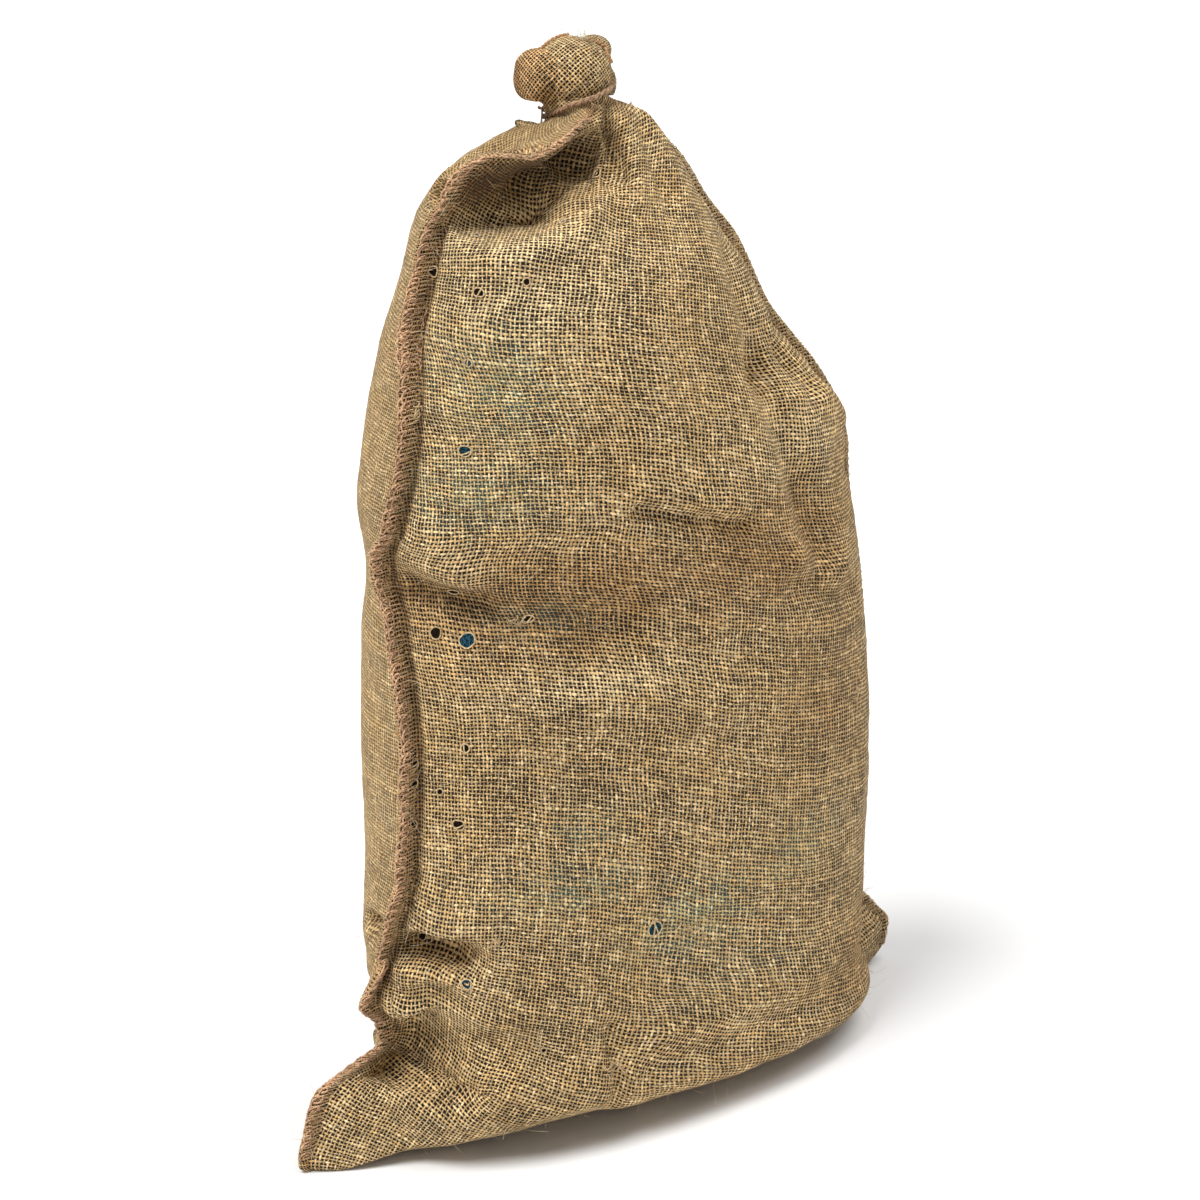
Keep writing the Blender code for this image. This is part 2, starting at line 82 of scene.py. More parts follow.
# Where the ring's left and right ends lie.
OUTLINE_COLUMNS = ("level", "left_x", "left_z", "right_x", "right_z")
OUTLINE = (
    (0.000, -0.222, 0.000, 0.246, 0.000),
    (0.004, -0.226, 0.004, 0.256, 0.004),
    (0.014, -0.224, 0.014, 0.264, 0.014),
    (0.030, -0.218, 0.030, 0.266, 0.030),
    (0.046, -0.213, 0.046, 0.254, 0.046),
    (0.058, -0.205, 0.058, 0.244, 0.058),
    (0.068, -0.178, 0.068, 0.234, 0.068),
    (0.078, -0.158, 0.078, 0.227, 0.078),
    (0.094, -0.160, 0.094, 0.220, 0.094),
    (0.114, -0.175, 0.114, 0.221, 0.114),
    (0.132, -0.1705, 0.132, 0.221, 0.132),
    (0.160, -0.161, 0.160, 0.222, 0.160),
    (0.220, -0.160, 0.220, 0.220, 0.220),
    (0.300, -0.159, 0.300, 0.214, 0.300),
    (0.360, -0.157, 0.360, 0.207, 0.360),
    (0.400, -0.151, 0.400, 0.201, 0.400),
    (0.450, -0.156, 0.450, 0.190, 0.450),
    (0.490, -0.150, 0.490, 0.169, 0.490),
    (0.540, -0.136, 0.540, 0.130, 0.540),
    (0.590, -0.118, 0.592, 0.107, 0.588),
    (0.625, -0.107, 0.632, 0.0855, 0.618),
    (0.650, -0.094, 0.653, 0.070, 0.647),
    (0.668, -0.066, 0.666, 0.056, 0.664),
    (0.679, -0.039, 0.6765, 0.038, 0.682),
    (0.686, -0.0210, 0.680, 0.0170, 0.692),
    (0.690, -0.0200, 0.684, 0.0160, 0.696),
    (0.694, -0.0205, 0.688, 0.0165, 0.700),
    (0.698, -0.022, 0.691, 0.024, 0.703),
    (0.705, -0.028, 0.697, 0.027, 0.709),
    (0.714, -0.033, 0.704, 0.025, 0.716),
    (0.724, -0.030, 0.712, 0.023, 0.724),
    (0.732, -0.022, 0.719, 0.018, 0.730),
    (0.737, -0.013, 0.723, 0.010, 0.732),
    (0.739, -0.006, 0.726, 0.003, 0.729),
)

# How far the two panels stand out of the seam line, how far the front tips up, and how much
# more than its left half the right half of a panel stands out.
DEPTH_COLUMNS = ("level", "middle_y", "front", "back", "tip", "skew")
DEPTH = (
    (0.000, 0.000, 0.044, 0.066, 0.000, 0.42),
    (0.004, 0.000, 0.057, 0.077, 0.000, 0.34),
    (0.014, 0.000, 0.079, 0.088, 0.000, 0.24),
    (0.026, 0.000, 0.095, 0.093, 0.000, 0.14),
    (0.042, 0.000, 0.102, 0.096, 0.000, 0.06),
    (0.100, 0.000, 0.101, 0.098, 0.000, 0.00),
    (0.300, 0.000, 0.097, 0.097, 0.000, 0.00),
    (0.450, 0.000, 0.093, 0.094, 0.000, 0.00),
    (0.540, 0.002, 0.086, 0.088, 0.000, 0.00),
    (0.600, 0.004, 0.075, 0.076, 0.000, 0.00),
    (0.640, 0.005, 0.058, 0.060, 0.000, 0.00),
    (0.668, 0.005, 0.042, 0.044, 0.002, 0.00),
    (0.679, 0.004, 0.031, 0.033, 0.006, 0.00),
    (0.686, 0.004, 0.0195, 0.0195, 0.009, 0.00),
    (0.690, 0.004, 0.0185, 0.0185, 0.009, 0.00),
    (0.694, 0.004, 0.0185, 0.0185, 0.009, 0.00),
    (0.705, 0.008, 0.028, 0.028, 0.009, 0.00),
    (0.714, 0.012, 0.030, 0.030, 0.006, 0.00),
    (0.724, 0.014, 0.027, 0.027, 0.004, 0.00),
    (0.732, 0.016, 0.019, 0.019, 0.002, 0.00),
    (0.739, 0.016, 0.006, 0.006, 0.000, 0.00),
)

# The shape of the ring: how far a flap of cloth stands out at each end, how fast it widens,
# and how round (0.5) or square (less) each filled end is.
FORM_COLUMNS = ("level", "left_flap", "right_flap", "flare", "left_corner", "right_corner")
FORM = (
    (0.000, 0.060, 0.040, 0.45, 0.42, 0.36),
    (0.014, 0.056, 0.044, 0.45, 0.42, 0.36),
    (0.030, 0.050, 0.044, 0.38, 0.42, 0.34),
    (0.046, 0.040, 0.036, 0.28, 0.42, 0.34),
    (0.060, 0.026, 0.026, 0.22, 0.42, 0.34),
    (0.074, 0.010, 0.012, 0.20, 0.42, 0.36),
    (0.092, 0.014, 0.002, 0.20, 0.42, 0.38),
    (0.114, 0.016, 0.000, 0.20, 0.42, 0.40),
    (0.160, 0.000, 0.000, 0.20, 0.42, 0.40),
    (0.450, 0.000, 0.000, 0.20, 0.42, 0.42),
    (0.600, 0.000, 0.000, 0.20, 0.44, 0.44),
    (0.668, 0.000, 0.000, 0.20, 0.50, 0.50),
    (0.739, 0.000, 0.000, 0.20, 0.50, 0.50),
)

# How far each seam has turned from its end of the ring towards the front, along the cloth.
SEAM_COLUMNS = ("level", "left_turn", "right_turn")
SEAM = (
    (0.000, 0.000, 0.000),
    (0.090, 0.000, 0.000),
    (0.145, 0.006, 0.008),
    (0.176, 0.015, 0.014),
    (0.215, 0.026, 0.018),
    (0.300, 0.030, 0.018),
    (0.350, 0.025, 0.016),
    (0.390, 0.013, 0.012),
    (0.414, 0.002, 0.014),
    (0.433, 0.006, 0.018),
    (0.455, 0.019, 0.018),
    (0.500, 0.022, 0.014),
    (0.540, 0.014, 0.012),
    (0.575, 0.002, 0.010),
    (0.630, 0.003, 0.006),
    (0.648, 0.006, 0.002),
    (0.660, 0.014, 0.000),
    (0.670, 0.026, 0.000),
    (0.680, 0.034, 0.000),
    (0.690, 0.026, 0.000),
    (0.739, 0.020, 0.000),
)
SQUARE = 2.4                # how full the middle of every ring is
FLAP_BLEND = 4              # how sharply a flap joins the filled part
FLAP_BLUNT = 24             # how blunt the flap's end is, where the two panels meet
FLAP_LIMIT = 0.5            # a flap is never thicker than this share of the filled depth

# The welt of seam allowance: how far it stands out at each side, and its thickness.
WELT_COLUMNS = ("level", "left_reach", "right_reach", "thick")
WELT = (
    (0.000, 0.004, 0.003, 0.005),
    (0.020, 0.007, 0.005, 0.005),
    (0.120, 0.009, 0.007, 0.005),
    (0.200, 0.011, 0.009, 0.006),
    (0.600, 0.011, 0.009, 0.006),
    (0.670, 0.008, 0.004, 0.005),
    (0.684, 0.0006, 0.0006, 0.003),
    (0.739, 0.0006, 0.0006, 0.002),
)
# The welt's profile, in shares of its thickness and its reach.
WELT_PROFILE = (
    (-0.50, 0.30), (-0.46, 0.62), (-0.30, 0.90), (0.0, 1.0),
    (0.30, 0.90), (0.46, 0.62), (0.50, 0.30),
)
WELT_POINTS = len(WELT_PROFILE)
EDGE_HALF = 0.007           # half the thickness of the cloth layers where an ear ends

# Folds of the filled cloth: soft troughs (push below 0) and ridges, each along a line.
FRONT = -1
BACK = 1
FOLDS = (
    # side, x1, z1, x2, z2, width, push
    # under the left shoulder, where the seam overhangs
    (FRONT, -0.090, 0.646, -0.058, 0.652, 0.014, -0.034),
    (FRONT, -0.058, 0.652, -0.018, 0.670, 0.012, -0.020),
    (FRONT, -0.090, 0.618, -0.030, 0.640, 0.012, 0.006),
    (FRONT, 0.006, 0.690, -0.006, 0.656, 0.006, -0.008),
    # down the right shoulder and side
    (FRONT, 0.084, 0.590, 0.094, 0.520, 0.014, -0.010),
    (FRONT, 0.094, 0.520, 0.134, 0.385, 0.014, -0.012),
    (FRONT, 0.124, 0.526, 0.138, 0.494, 0.008, -0.012),
    (FRONT, 0.134, 0.497, 0.190, 0.452, 0.009, 0.007),
    (FRONT, 0.108, 0.391, 0.150, 0.368, 0.012, 0.007),
    (FRONT, 0.110, 0.372, 0.165, 0.345, 0.014, -0.006),
    # across the front
    (FRONT, -0.021, 0.456, 0.060, 0.427, 0.007, -0.005),
    (FRONT, -0.020, 0.470, 0.050, 0.442, 0.012, 0.003),
    (FRONT, -0.134, 0.404, -0.040, 0.378, 0.018, -0.005),
    (FRONT, -0.040, 0.378, 0.070, 0.335, 0.020, -0.004),
    (FRONT, -0.137, 0.350, 0.039, 0.308, 0.022, 0.004),
    (FRONT, -0.045, 0.094, -0.041, 0.036, 0.007, -0.004),
    (FRONT, -0.080, 0.000, -0.056, 0.004, 0.024, -0.008),
    # along the left seam
    (FRONT, -0.150, 0.412, -0.122, 0.407, 0.010, -0.010),
    (FRONT, -0.146, 0.452, -0.132, 0.432, 0.014, 0.007),
    (FRONT, -0.135, 0.560, -0.105, 0.545, 0.016, -0.006),
    (FRONT, -0.138, 0.515, -0.118, 0.505, 0.014, -0.005),
    # the left ear: a roll, a dent over it and a dent under it
    (FRONT, -0.165, 0.158, -0.138, 0.158, 0.010, -0.018),
    (FRONT, -0.168, 0.125, -0.158, 0.100, 0.014, 0.008),
    (FRONT, -0.146, 0.120, -0.140, 0.078, 0.013, -0.009),
    (FRONT, -0.178, 0.072, -0.142, 0.060, 0.010, -0.022),
    (FRONT, -0.190, 0.040, -0.150, 0.030, 0.016, 0.005),
    # the right ear
    (FRONT, 0.222, 0.086, 0.206, 0.060, 0.010, -0.006),
    # behind
    (BACK, -0.060, 0.600, -0.020, 0.640, 0.016, -0.010),
    (BACK, 0.010, 0.660, 0.050, 0.560, 0.016, -0.010),
    (BACK, 0.060, 0.560, 0.120, 0.420, 0.018, -0.008),
    (BACK, -0.120, 0.470, -0.020, 0.440, 0.014, -0.006),
    (BACK, -0.060, 0.360, 0.110, 0.330, 0.022, -0.005),
    (BACK, -0.165, 0.050, -0.115, 0.044, 0.026, -0.026),
)
SEAM_CALM = 0.010           # the welts stiffen the cloth: a fold dies out this near a seam
FOLD_FACING = (0.5, 2.0)    # a fold's share edge-on, and how fast it grows towards its side

# Finer creases, too narrow for the solid.
CREASES = (
    # side, x1, z1, x2, z2, width, push
    (FRONT, -0.094, 0.644, -0.055, 0.650, 0.011, -0.016),
    (FRONT, -0.055, 0.650, -0.022, 0.664, 0.010, -0.016),
    (FRONT, -0.022, 0.662, -0.008, 0.676, 0.006, -0.006),
    (FRONT, -0.162, 0.160, -0.132, 0.157, 0.0070, -0.0120),
    (FRONT, -0.190, 0.072, -0.142, 0.061, 0.0060, -0.0110),
    (FRONT, -0.150, 0.128, -0.142, 0.080, 0.0090, -0.0060),
    (FRONT, -0.166, 0.138, -0.160, 0.098, 0.0080, 0.0050),
    (FRONT, -0.021, 0.457, 0.061, 0.427, 0.0035, -0.0022),
    (FRONT, -0.046, 0.092, -0.041, 0.040, 0.0035, -0.0020),
    (FRONT, 0.002, 0.684, 0.002, 0.655, 0.0035, -0.0060),
    (FRONT, 0.012, 0.682, 0.010, 0.640, 0.0050, 0.0020),
    (FRONT, 0.024, 0.680, 0.030, 0.630, 0.0040, -0.0022),
    (FRONT, 0.036, 0.672, 0.052, 0.610, 0.0060, 0.0020),
    (FRONT, 0.104, 0.540, 0.118, 0.500, 0.0050, -0.0025),
    (FRONT, 0.150, 0.440, 0.190, 0.420, 0.0060, -0.0018),
    (FRONT, -0.140, 0.470, -0.112, 0.462, 0.0060, -0.0020),
    (FRONT, -0.146, 0.345, -0.118, 0.340, 0.0070, -0.0016),
)

# The left shoulder's seam hangs over the front as a lip: level, how far out and how far up.
LIP_COLUMNS = ("level", "out", "up")
LIP = (
    (0.000, 0.000, 0.000),
    (0.625, 0.000, 0.000),
    (0.640, 0.004, 0.002),
    (0.648, 0.007, 0.010),
    (0.655, 0.010, 0.017),
    (0.660, 0.010, 0.018),
    (0.665, 0.010, 0.013),
    (0.670, 0.007, 0.005),
    (0.678, 0.002, 0.001),
    (0.686, 0.000, 0.000),
    (0.739, 0.000, 0.000),
)
LIP_REACH = 0.015           # along the front from the seam
LIP_REACH_BACK = 0.034      # and along the back
SHELF_LEVELS = (0.660, 0.690)       # where the back's left shoulder has no hollows
TROUGH_DEPTH = 0.0028       # of the cloth drawn in beside a welt, on its front side
TROUGH_AT = 0.0042
TROUGH_HALF = 0.0026
TROUGH_LEVELS = (0.06, 0.09, 0.62, 0.67)    # from where to where it deepens, and fades

# The gathers round the neck and the mouth: how deep they are.
GATHER_COLUMNS = ("level", "depth")
GATHERS = (
    (0.000, 0.0000),
    (0.610, 0.0000),
    (0.650, 0.0022),
    (0.672, 0.0030),
    (0.686, 0.0003),
    (0.696, 0.0003),
    (0.706, 0.0022),
    (0.720, 0.0036),
    (0.734, 0.0026),
    (0.739, 0.0004),
)
# Each wave of gathers: its share of the depth, how many there are, and where it starts.
GATHER_WAVES = ((0.50, 5, 0.6), (0.50, 9, 2.1), (0.30, 3, 4.0))

# The bunched mouth: a ball of cloth with smaller lobes of the sewn hem.
MOUTH_MIDDLE = (0.000, 0.012, 0.7065)
MOUTH_RADIUS = 0.0245
MOUTH_CLOSE = 1.30          # how much closer its weave lies
MOUTH_FRONT = (-0.50, -0.74, 0.45)
LOBES = (
    # x, y, z, half_x, half_y, half_z
    (-0.0270, 0.0150, 0.7065, 0.0105, 0.0150, 0.0165),
    (-0.0230, 0.0170, 0.7130, 0.0130, 0.0140, 0.0125),
    (0.0190, 0.0160, 0.7190, 0.0110, 0.0110, 0.0095),
    (0.0250, 0.0120, 0.6980, 0.0060, 0.0090, 0.0110),
    (-0.0080, 0.0300, 0.7060, 0.0150, 0.0110, 0.0160),
    (0.0120, 0.0290, 0.7080, 0.0120, 0.0110, 0.0150),
)
NECK_TILT = (0.0045, 0.012)     # how far the neck's left side is drawn up, over which levels
MOUTH_JOINS = (0.691, 0.697)    # levels between which the neck becomes the ball
NECK_ANGLE = 2.34               # from the top of the ball to the neck
MOUTH_PLEATS = (0.0011, 13, 0.4)    # depth, how many, where the first one is
MOUTH_LUMPS = (0.0006, 0.35)        # height, and wavelength in radians

# Small unevenness of the filled cloth: wavelength and height.
LUMPS = ((0.070, 0.0018), (0.028, 0.0007), (0.011, 0.0003))
PUCKER_PITCH = 0.017        # along the seams
PUCKER_HEIGHT = 0.0012
PUCKER_REACH = 0.016
PUCKER_DRIFT, PUCKER_DRIFT_LENGTH = 0.6, 0.03   # how many puckers they come early or late
FLOOR_CALM = 0.02           # this near the floor the cloth is pressed smooth

# ---- The weave -------------------------------------------------------------------------

CLOTH_WIDTH = 0.480         # of one panel, from seam to seam
WARP_PITCH = 0.0031
WEFT_PITCH = 0.0029
STRETCH_LIMIT = 0.08        # how far the threads give before the cloth folds instead
ANCHOR_SHARE = 0.35         # the warp that stays upright, from the left seam
THREAD_REACH = 8            # columns or rings over which the threads even out a fold
MOUTH_TWIST = 0.75          # radians that the cloth's threads turn above the tie
BACK_EASE = 0.3             # the back's threads wander this much as far as the front's

# How close the weft lies at each level.
CLOSE_COLUMNS = ("level", "weft")
CLOSE = (
    (0.000, 0.85),
    (0.100, 0.87),
    (0.200, 0.95),
    (0.300, 0.97),
    (0.400, 1.00),
    (0.500, 1.05),
    (0.570, 1.12),
    (0.620, 1.20),
    (0.739, 1.20),
)
# How close the warp lies at each share of the panel's width, from its left seam.
WARP = (
    (0.00, 1.30),
    (0.07, 1.26),
    (0.20, 1.12),
    (0.33, 0.98),
    (0.47, 0.88),
    (0.65, 1.00),
    (1.00, 1.10),
)
# How steeply the weft sinks across the panel, for each level and share of the width.
DROP_SHARES = (0.00, 0.10, 0.20, 0.33, 0.48, 0.65, 0.80, 1.00)
DROP = (
    (0.000, (-0.05, 0.05, 0.26, 0.38, 0.42, 0.33, 0.20, 0.00)),
    (0.300, (-0.05, 0.05, 0.22, 0.34, 0.42, 0.33, 0.20, 0.00)),
    (0.450, (-0.05, 0.00, 0.10, 0.26, 0.42, 0.32, 0.22, 0.05)),
    (0.550, (-0.05, 0.00, 0.05, 0.16, 0.34, 0.42, 0.32, 0.15)),
    (0.739, (-0.05, 0.00, 0.05, 0.16, 0.34, 0.42, 0.32, 0.15)),
)
# How far the warp has swayed to the right at each level and share of the width.
SWAY_SHARES = (0.00, 0.30, 0.50, 0.75, 1.00)
SWAY = (
    (0.000, (0.000, 0.006, 0.012, 0.012, 0.006)),
    (0.060, (0.000, 0.003, 0.006, 0.006, 0.003)),
    (0.140, (0.000, 0.000, 0.000, 0.000, 0.000)),
    (0.280, (0.000, 0.001, 0.003, 0.002, 0.000)),
    (0.350, (0.000, -0.001, -0.002, -0.002, 0.000)),
    (0.430, (0.000, -0.004, -0.007, -0.005, 0.000)),
    (0.480, (0.001, -0.001, -0.004, -0.003, 0.000)),
    (0.560, (0.000, -0.003, -0.006, -0.006, 0.000)),
    (0.640, (0.002, -0.004, -0.010, -0.008, 0.000)),
    (0.739, (0.002, -0.004, -0.010, -0.008, 0.000)),
)
DRAWN_LEVELS = (0.615, 0.640, 0.739)    # above these the weft follows the cloth into its folds
EAR_CLIMB_LEVEL = 0.17      # below this it does so near the left seam
EAR_CLIMB_SHARES = (0.22, 0.42)
BACK_CLOSE = 1.15           # how much closer the back's threads look
# Where the threads slide until they lie evenly, and how close they then lie.
SLIDES = (
    # share of the width, from level, to level, close
    (0.42, 0.000, 0.220, 1.15),
    (0.85, 0.585, 0.739, 1.22),
)
SLIDE_ROUNDS = 6            # how often the threads turn with the cloth and settle again
SLIDE_STEPS = 45            # steps of each settling
THINNEST = 1e-5             # the least height that a triangle of the cloth counts with
# The threads lie turned round the left ear.
EAR_TURN = 0.38
EAR_LEVEL = 0.075
EAR_REACH = 0.085

SECTION_SAMPLES = 720       # points round each ring's outline, before columns are set on it
SMALL = 1e-9


# ---- Curves through tables --------------------------------------------------------------

def columns(table, names, level):
    """Read every column of a table at the given levels, on a smooth curve with no overshoot."""
    rows = np.array(table, dtype=float)
    found = {}
    for index, name in enumerate(names[1:], start=1):
        found[name] = monotone_curve(rows[:, 0], rows[:, index], level)
    return found


def monotone_curve(knots, values, at):
    """A cubic through the rows whose slopes never swing past a row's own value."""
    step = np.diff(knots)
    rise = np.diff(values) / step
    before, after = rise[:-1], rise[1:]
    weight = (step[1:] + 2 * step[:-1], 2 * step[1:] + step[:-1])
    turning = before * after <= 0
    safe_before = np.where(turning, 1.0, before)
    safe_after = np.where(turning, 1.0, after)
    inner = (weight[0] + weight[1]) / (weight[0] / safe_after + weight[1] / safe_before)
    slope = np.concatenate(([rise[0]], np.where(turning, 0.0, inner), [rise[-1]]))
    at = np.clip(at, knots[0], knots[-1])
    i = np.clip(np.searchsorted(knots, at) - 1, 0, len(step) - 1)
    h = step[i]
    t = (at - knots[i]) / h
    start = (1 + 2 * t) * (1 - t) ** 2 * values[i] + t * (1 - t) ** 2 * h * slope[i]
    end = t * t * (3 - 2 * t) * values[i + 1] - t * t * (1 - t) * h * slope[i + 1]
    return start + end


def chance(cell, seed):
    """A fixed number between 0 and 1 for every cell, which looks random."""
    cell = np.asarray(cell, dtype=float)
    mixed = np.sin(cell @ np.array((127.1, 311.7, 74.7)) + 17.3 * seed) * 43758.5453
    return mixed - np.floor(mixed)


def noise(points, size, seed):
    """Smooth unevenness between -1 and 1, with the given wavelength."""
    at = points / size
    base = np.floor(at)
    share = at - base
    share = share * share * (3 - 2 * share)
    total = np.zeros(points.shape[:-1])
    for corner in np.ndindex(2, 2, 2):
        weight = np.prod(np.where(corner, share, 1 - share), axis=-1)
        total += weight * (2 * chance(base + corner, seed) - 1)
    return total


def unit(vectors):
    return vectors / np.maximum(np.linalg.norm(vectors, axis=-1, keepdims=True), SMALL)


# ---- The cloth body --------------------------------------------------------------------

def ring_levels():
    levels = [0.0]
    for low, high, count in RING_SPANS:
        levels.extend(np.linspace(low, high, count + 1)[1:])
    return np.array(levels)


def section(row):
    """A closed outline from the left end, along the front to the right end, and back."""
    angle = np.linspace(0.0, np.pi, SECTION_SAMPLES + 1)
    left, right = row["left_x"], row["right_x"]
    across = -np.cos(angle)
    x = (left + right) / 2 + (right - left) / 2 * across
    core_left, core_right = left + row["left_flap"], right - row["right_flap"]
    share = np.clip((2 * x - core_left - core_right) / (core_right - core_left), -1, 1)
    corner = np.where(share < 0, row["left_corner"], row["right_corner"])
    core = (1 - np.abs(share) ** SQUARE) ** corner
    wedge = EDGE_HALF + row["flare"] * np.minimum(x - left, right - x)
    rounded = np.sqrt(np.clip(1 - np.abs(across) ** FLAP_BLUNT, 0, 1))

    def bulge(depth):
        depth = depth * (1 + row["skew"] * across)
        flap = np.minimum(wedge, FLAP_LIMIT * depth) * rounded
        return ((core * depth) ** FLAP_BLEND + flap ** FLAP_BLEND) ** (1 / FLAP_BLEND)

    outline_x = np.concatenate((x, x[::-1][1:]))
    outline_y = np.concatenate((-bulge(row["front"]), bulge(row["back"])[::-1][1:]))
    return outline_x, outline_y


def welt_points(seam, outward, along, reach, thick):
    """The points over a welt: up one side, round its rounded edge and down the other."""
    return [seam + along * (side * thick) + outward * (out * reach) for side, out in WELT_PROFILE]


def ring(row):
    """The points of one ring, from the left seam along the front panel and back again."""
    x, y = section(row)
    run = np.concatenate(([0.0], np.cumsum(np.hypot(np.diff(x), np.diff(y)))))
    whole = run[-1]
    front_run = run[SECTION_SAMPLES]
    left_seam = row["left_turn"]
    right_seam = front_run - row["right_turn"]
    half = row["thick"] / 2

    def point(at):
        at = np.mod(at, whole)
        return np.stack((np.interp(at, run, x), np.interp(at, run, y)), axis=-1)

    def seam_frame(at):
        along = point(at + half) - point(at - half)
        along = along / np.linalg.norm(along)
        return point(at), np.array((along[1], -along[0])), along

    front_points = point(np.linspace(left_seam + half, right_seam - half, FRONT_STEPS + 1))
    back_points = point(np.linspace(right_seam + half, whole + left_seam - half, BACK_STEPS + 1))
    spot, outward, along = seam_frame(right_seam)
    right_welt = welt_points(spot, outward, along, row["right_reach"], row["thick"])
    spot, outward, along = seam_frame(left_seam)
    left_welt = welt_points(spot, outward, along, row["left_reach"], row["thick"])
    flat = np.concatenate((front_points, right_welt, back_points, left_welt))
    share = (flat[:, 0] - row["left_x"]) / (row["right_x"] - row["left_x"])
    z = row["left_z"] + (row["right_z"] - row["left_z"]) * share
    z = z - row["tip"] * flat[:, 1] / row["front"]
    return np.column_stack((flat[:, 0], flat[:, 1] + row["middle_y"], z))


# The places round a ring.
RIGHT_WELT = FRONT_STEPS + 1
BACK_START = RIGHT_WELT + WELT_POINTS
LEFT_WELT = BACK_START + BACK_STEPS + 1
AROUND = LEFT_WELT + WELT_POINTS
BACK_MIDDLE = BACK_START + BACK_STEPS // 2
RIGHT_HALF = slice(FRONT_STEPS // 2, BACK_MIDDLE)


def body_grid(levels):
    """Every ring of the sack, before its folds: an array of rings, points, coordinates."""
    rows = {}
    for table, names in ((OUTLINE, OUTLINE_COLUMNS), (DEPTH, DEPTH_COLUMNS),
                         (FORM, FORM_COLUMNS), (SEAM, SEAM_COLUMNS), (WELT, WELT_COLUMNS)):
        rows.update(columns(table, names, levels))
    count = len(levels)
    return np.array([ring({name: rows[name][i] for name in rows}) for i in range(count)])


def grid_normals(grid):
    """Outward directions of a grid of rings."""
    along = np.roll(grid, -1, axis=1) - np.roll(grid, 1, axis=1)
    up = np.gradient(grid, axis=0)
    return unit(np.cross(along, up))


def segment_distance(x, z, fold):
    """How far points of a panel lie from a fold's line."""
    x1, z1, x2, z2 = fold
    run_x, run_z = x2 - x1, z2 - z1
    share = ((x - x1) * run_x + (z - z1) * run_z) / max(run_x ** 2 + run_z ** 2, SMALL)
    share = np.clip(share, 0, 1)
    return np.hypot(x - x1 - share * run_x, z - z1 - share * run_z)


def carry_welts(shift):
    """A welt moves as one with the cloth that it grows from."""
    for first, last in ((FRONT_STEPS, BACK_START), (LEFT_WELT - 1, AROUND)):
        mean = (shift[:, first] + shift[:, last % AROUND]) / 2
        for place in range(first, last + 1):
            shift[:, place % AROUND] = mean


def seam_distance(grid):
    """How far along the cloth every point lies from its nearer seam; 0 on the welts."""
    distance = np.zeros(grid.shape[:2])
    for first, steps in ((0, FRONT_STEPS), (BACK_START, BACK_STEPS)):
        panel = grid[:, first:first + steps + 1]
        run = summed(np.linalg.norm(np.diff(panel, axis=1), axis=2), 1)
        distance[:, first:first + steps + 1] = np.minimum(run, run[:, -1:] - run)
    return distance


def ring_turn():
    """The turn of every column round the ring, as even on each panel as in the solid."""
    turn = np.zeros(AROUND)
    turn[:RIGHT_WELT] = np.linspace(0, np.pi, FRONT_STEPS + 1)
    turn[RIGHT_WELT:BACK_START] = np.pi
    turn[BACK_START:LEFT_WELT] = np.linspace(np.pi, 2 * np.pi, BACK_STEPS + 1)
    return turn


def gathers(levels):
    """The waves of cloth that the tie draws together."""
    depth = columns(GATHERS, GATHER_COLUMNS, levels)["depth"]
    turn = ring_turn()
    wave = sum(share * np.cos(count * turn + start) for share, count, start in GATHER_WAVES)
    return depth[:, None] * wave


def pressed(grid, normal, folds):
    """How far every fold of a table pushes every point."""
    x, z = grid[..., 0], grid[..., 2]
    push = np.zeros_like(x)
    for side, x1, z1, x2, z2, width, depth in folds:
        near = np.exp(-((segment_distance(x, z, (x1, z1, x2, z2)) / width) ** 2))
        facing = np.clip(FOLD_FACING[0] + FOLD_FACING[1] * side * normal[..., 1], 0, 1)
        push += depth * near * facing
    return push


def fold_grid(grid, levels):
    """Press every fold into the panels, gather the neck and make the cloth uneven."""
    normal = grid_normals(grid)
    distance = seam_distance(grid)
    calm = 1 - np.exp(-((distance / SEAM_CALM) ** 2))
    push = pressed(grid, normal, FOLDS) * calm + gathers(levels)
    shift = normal * push[..., None]
    carry_welts(shift)
    moved = grid + shift

    normal = grid_normals(moved)
    fine = pressed(moved, normal, CREASES)
    for size, height in LUMPS:
        fine += height * noise(moved, size, size * 1000)
    seam_way = moved[..., 2] / PUCKER_PITCH + PUCKER_DRIFT * noise(moved, PUCKER_DRIFT_LENGTH, 5)
    fine += PUCKER_HEIGHT * np.sin(2 * np.pi * seam_way) * np.exp(-distance / PUCKER_REACH)
    off_floor = np.clip(grid[..., 2] / FLOOR_CALM, 0, 1)
    shift = normal * (fine * calm * off_floor)[..., None]
    carry_welts(shift)
    moved = sewn_in(moved + shift, levels)
    moved[..., 2] = np.maximum(moved[..., 2], 0.0)
    moved[0, :, 2] = 0.0
    return mouth_grid(moved, levels)


def beside_welts(distance, levels):
    """How fully the front is drawn in beside its welts, from 0 to 1."""
    rise = np.interp(levels, TROUGH_LEVELS, (0, 1, 1, 0))[:, None]
    share = rise * np.exp(-(((distance - TROUGH_AT) / TROUGH_HALF) ** 2))
    share[:, 0] = 0
    share[:, FRONT_STEPS:] = 0
    return share


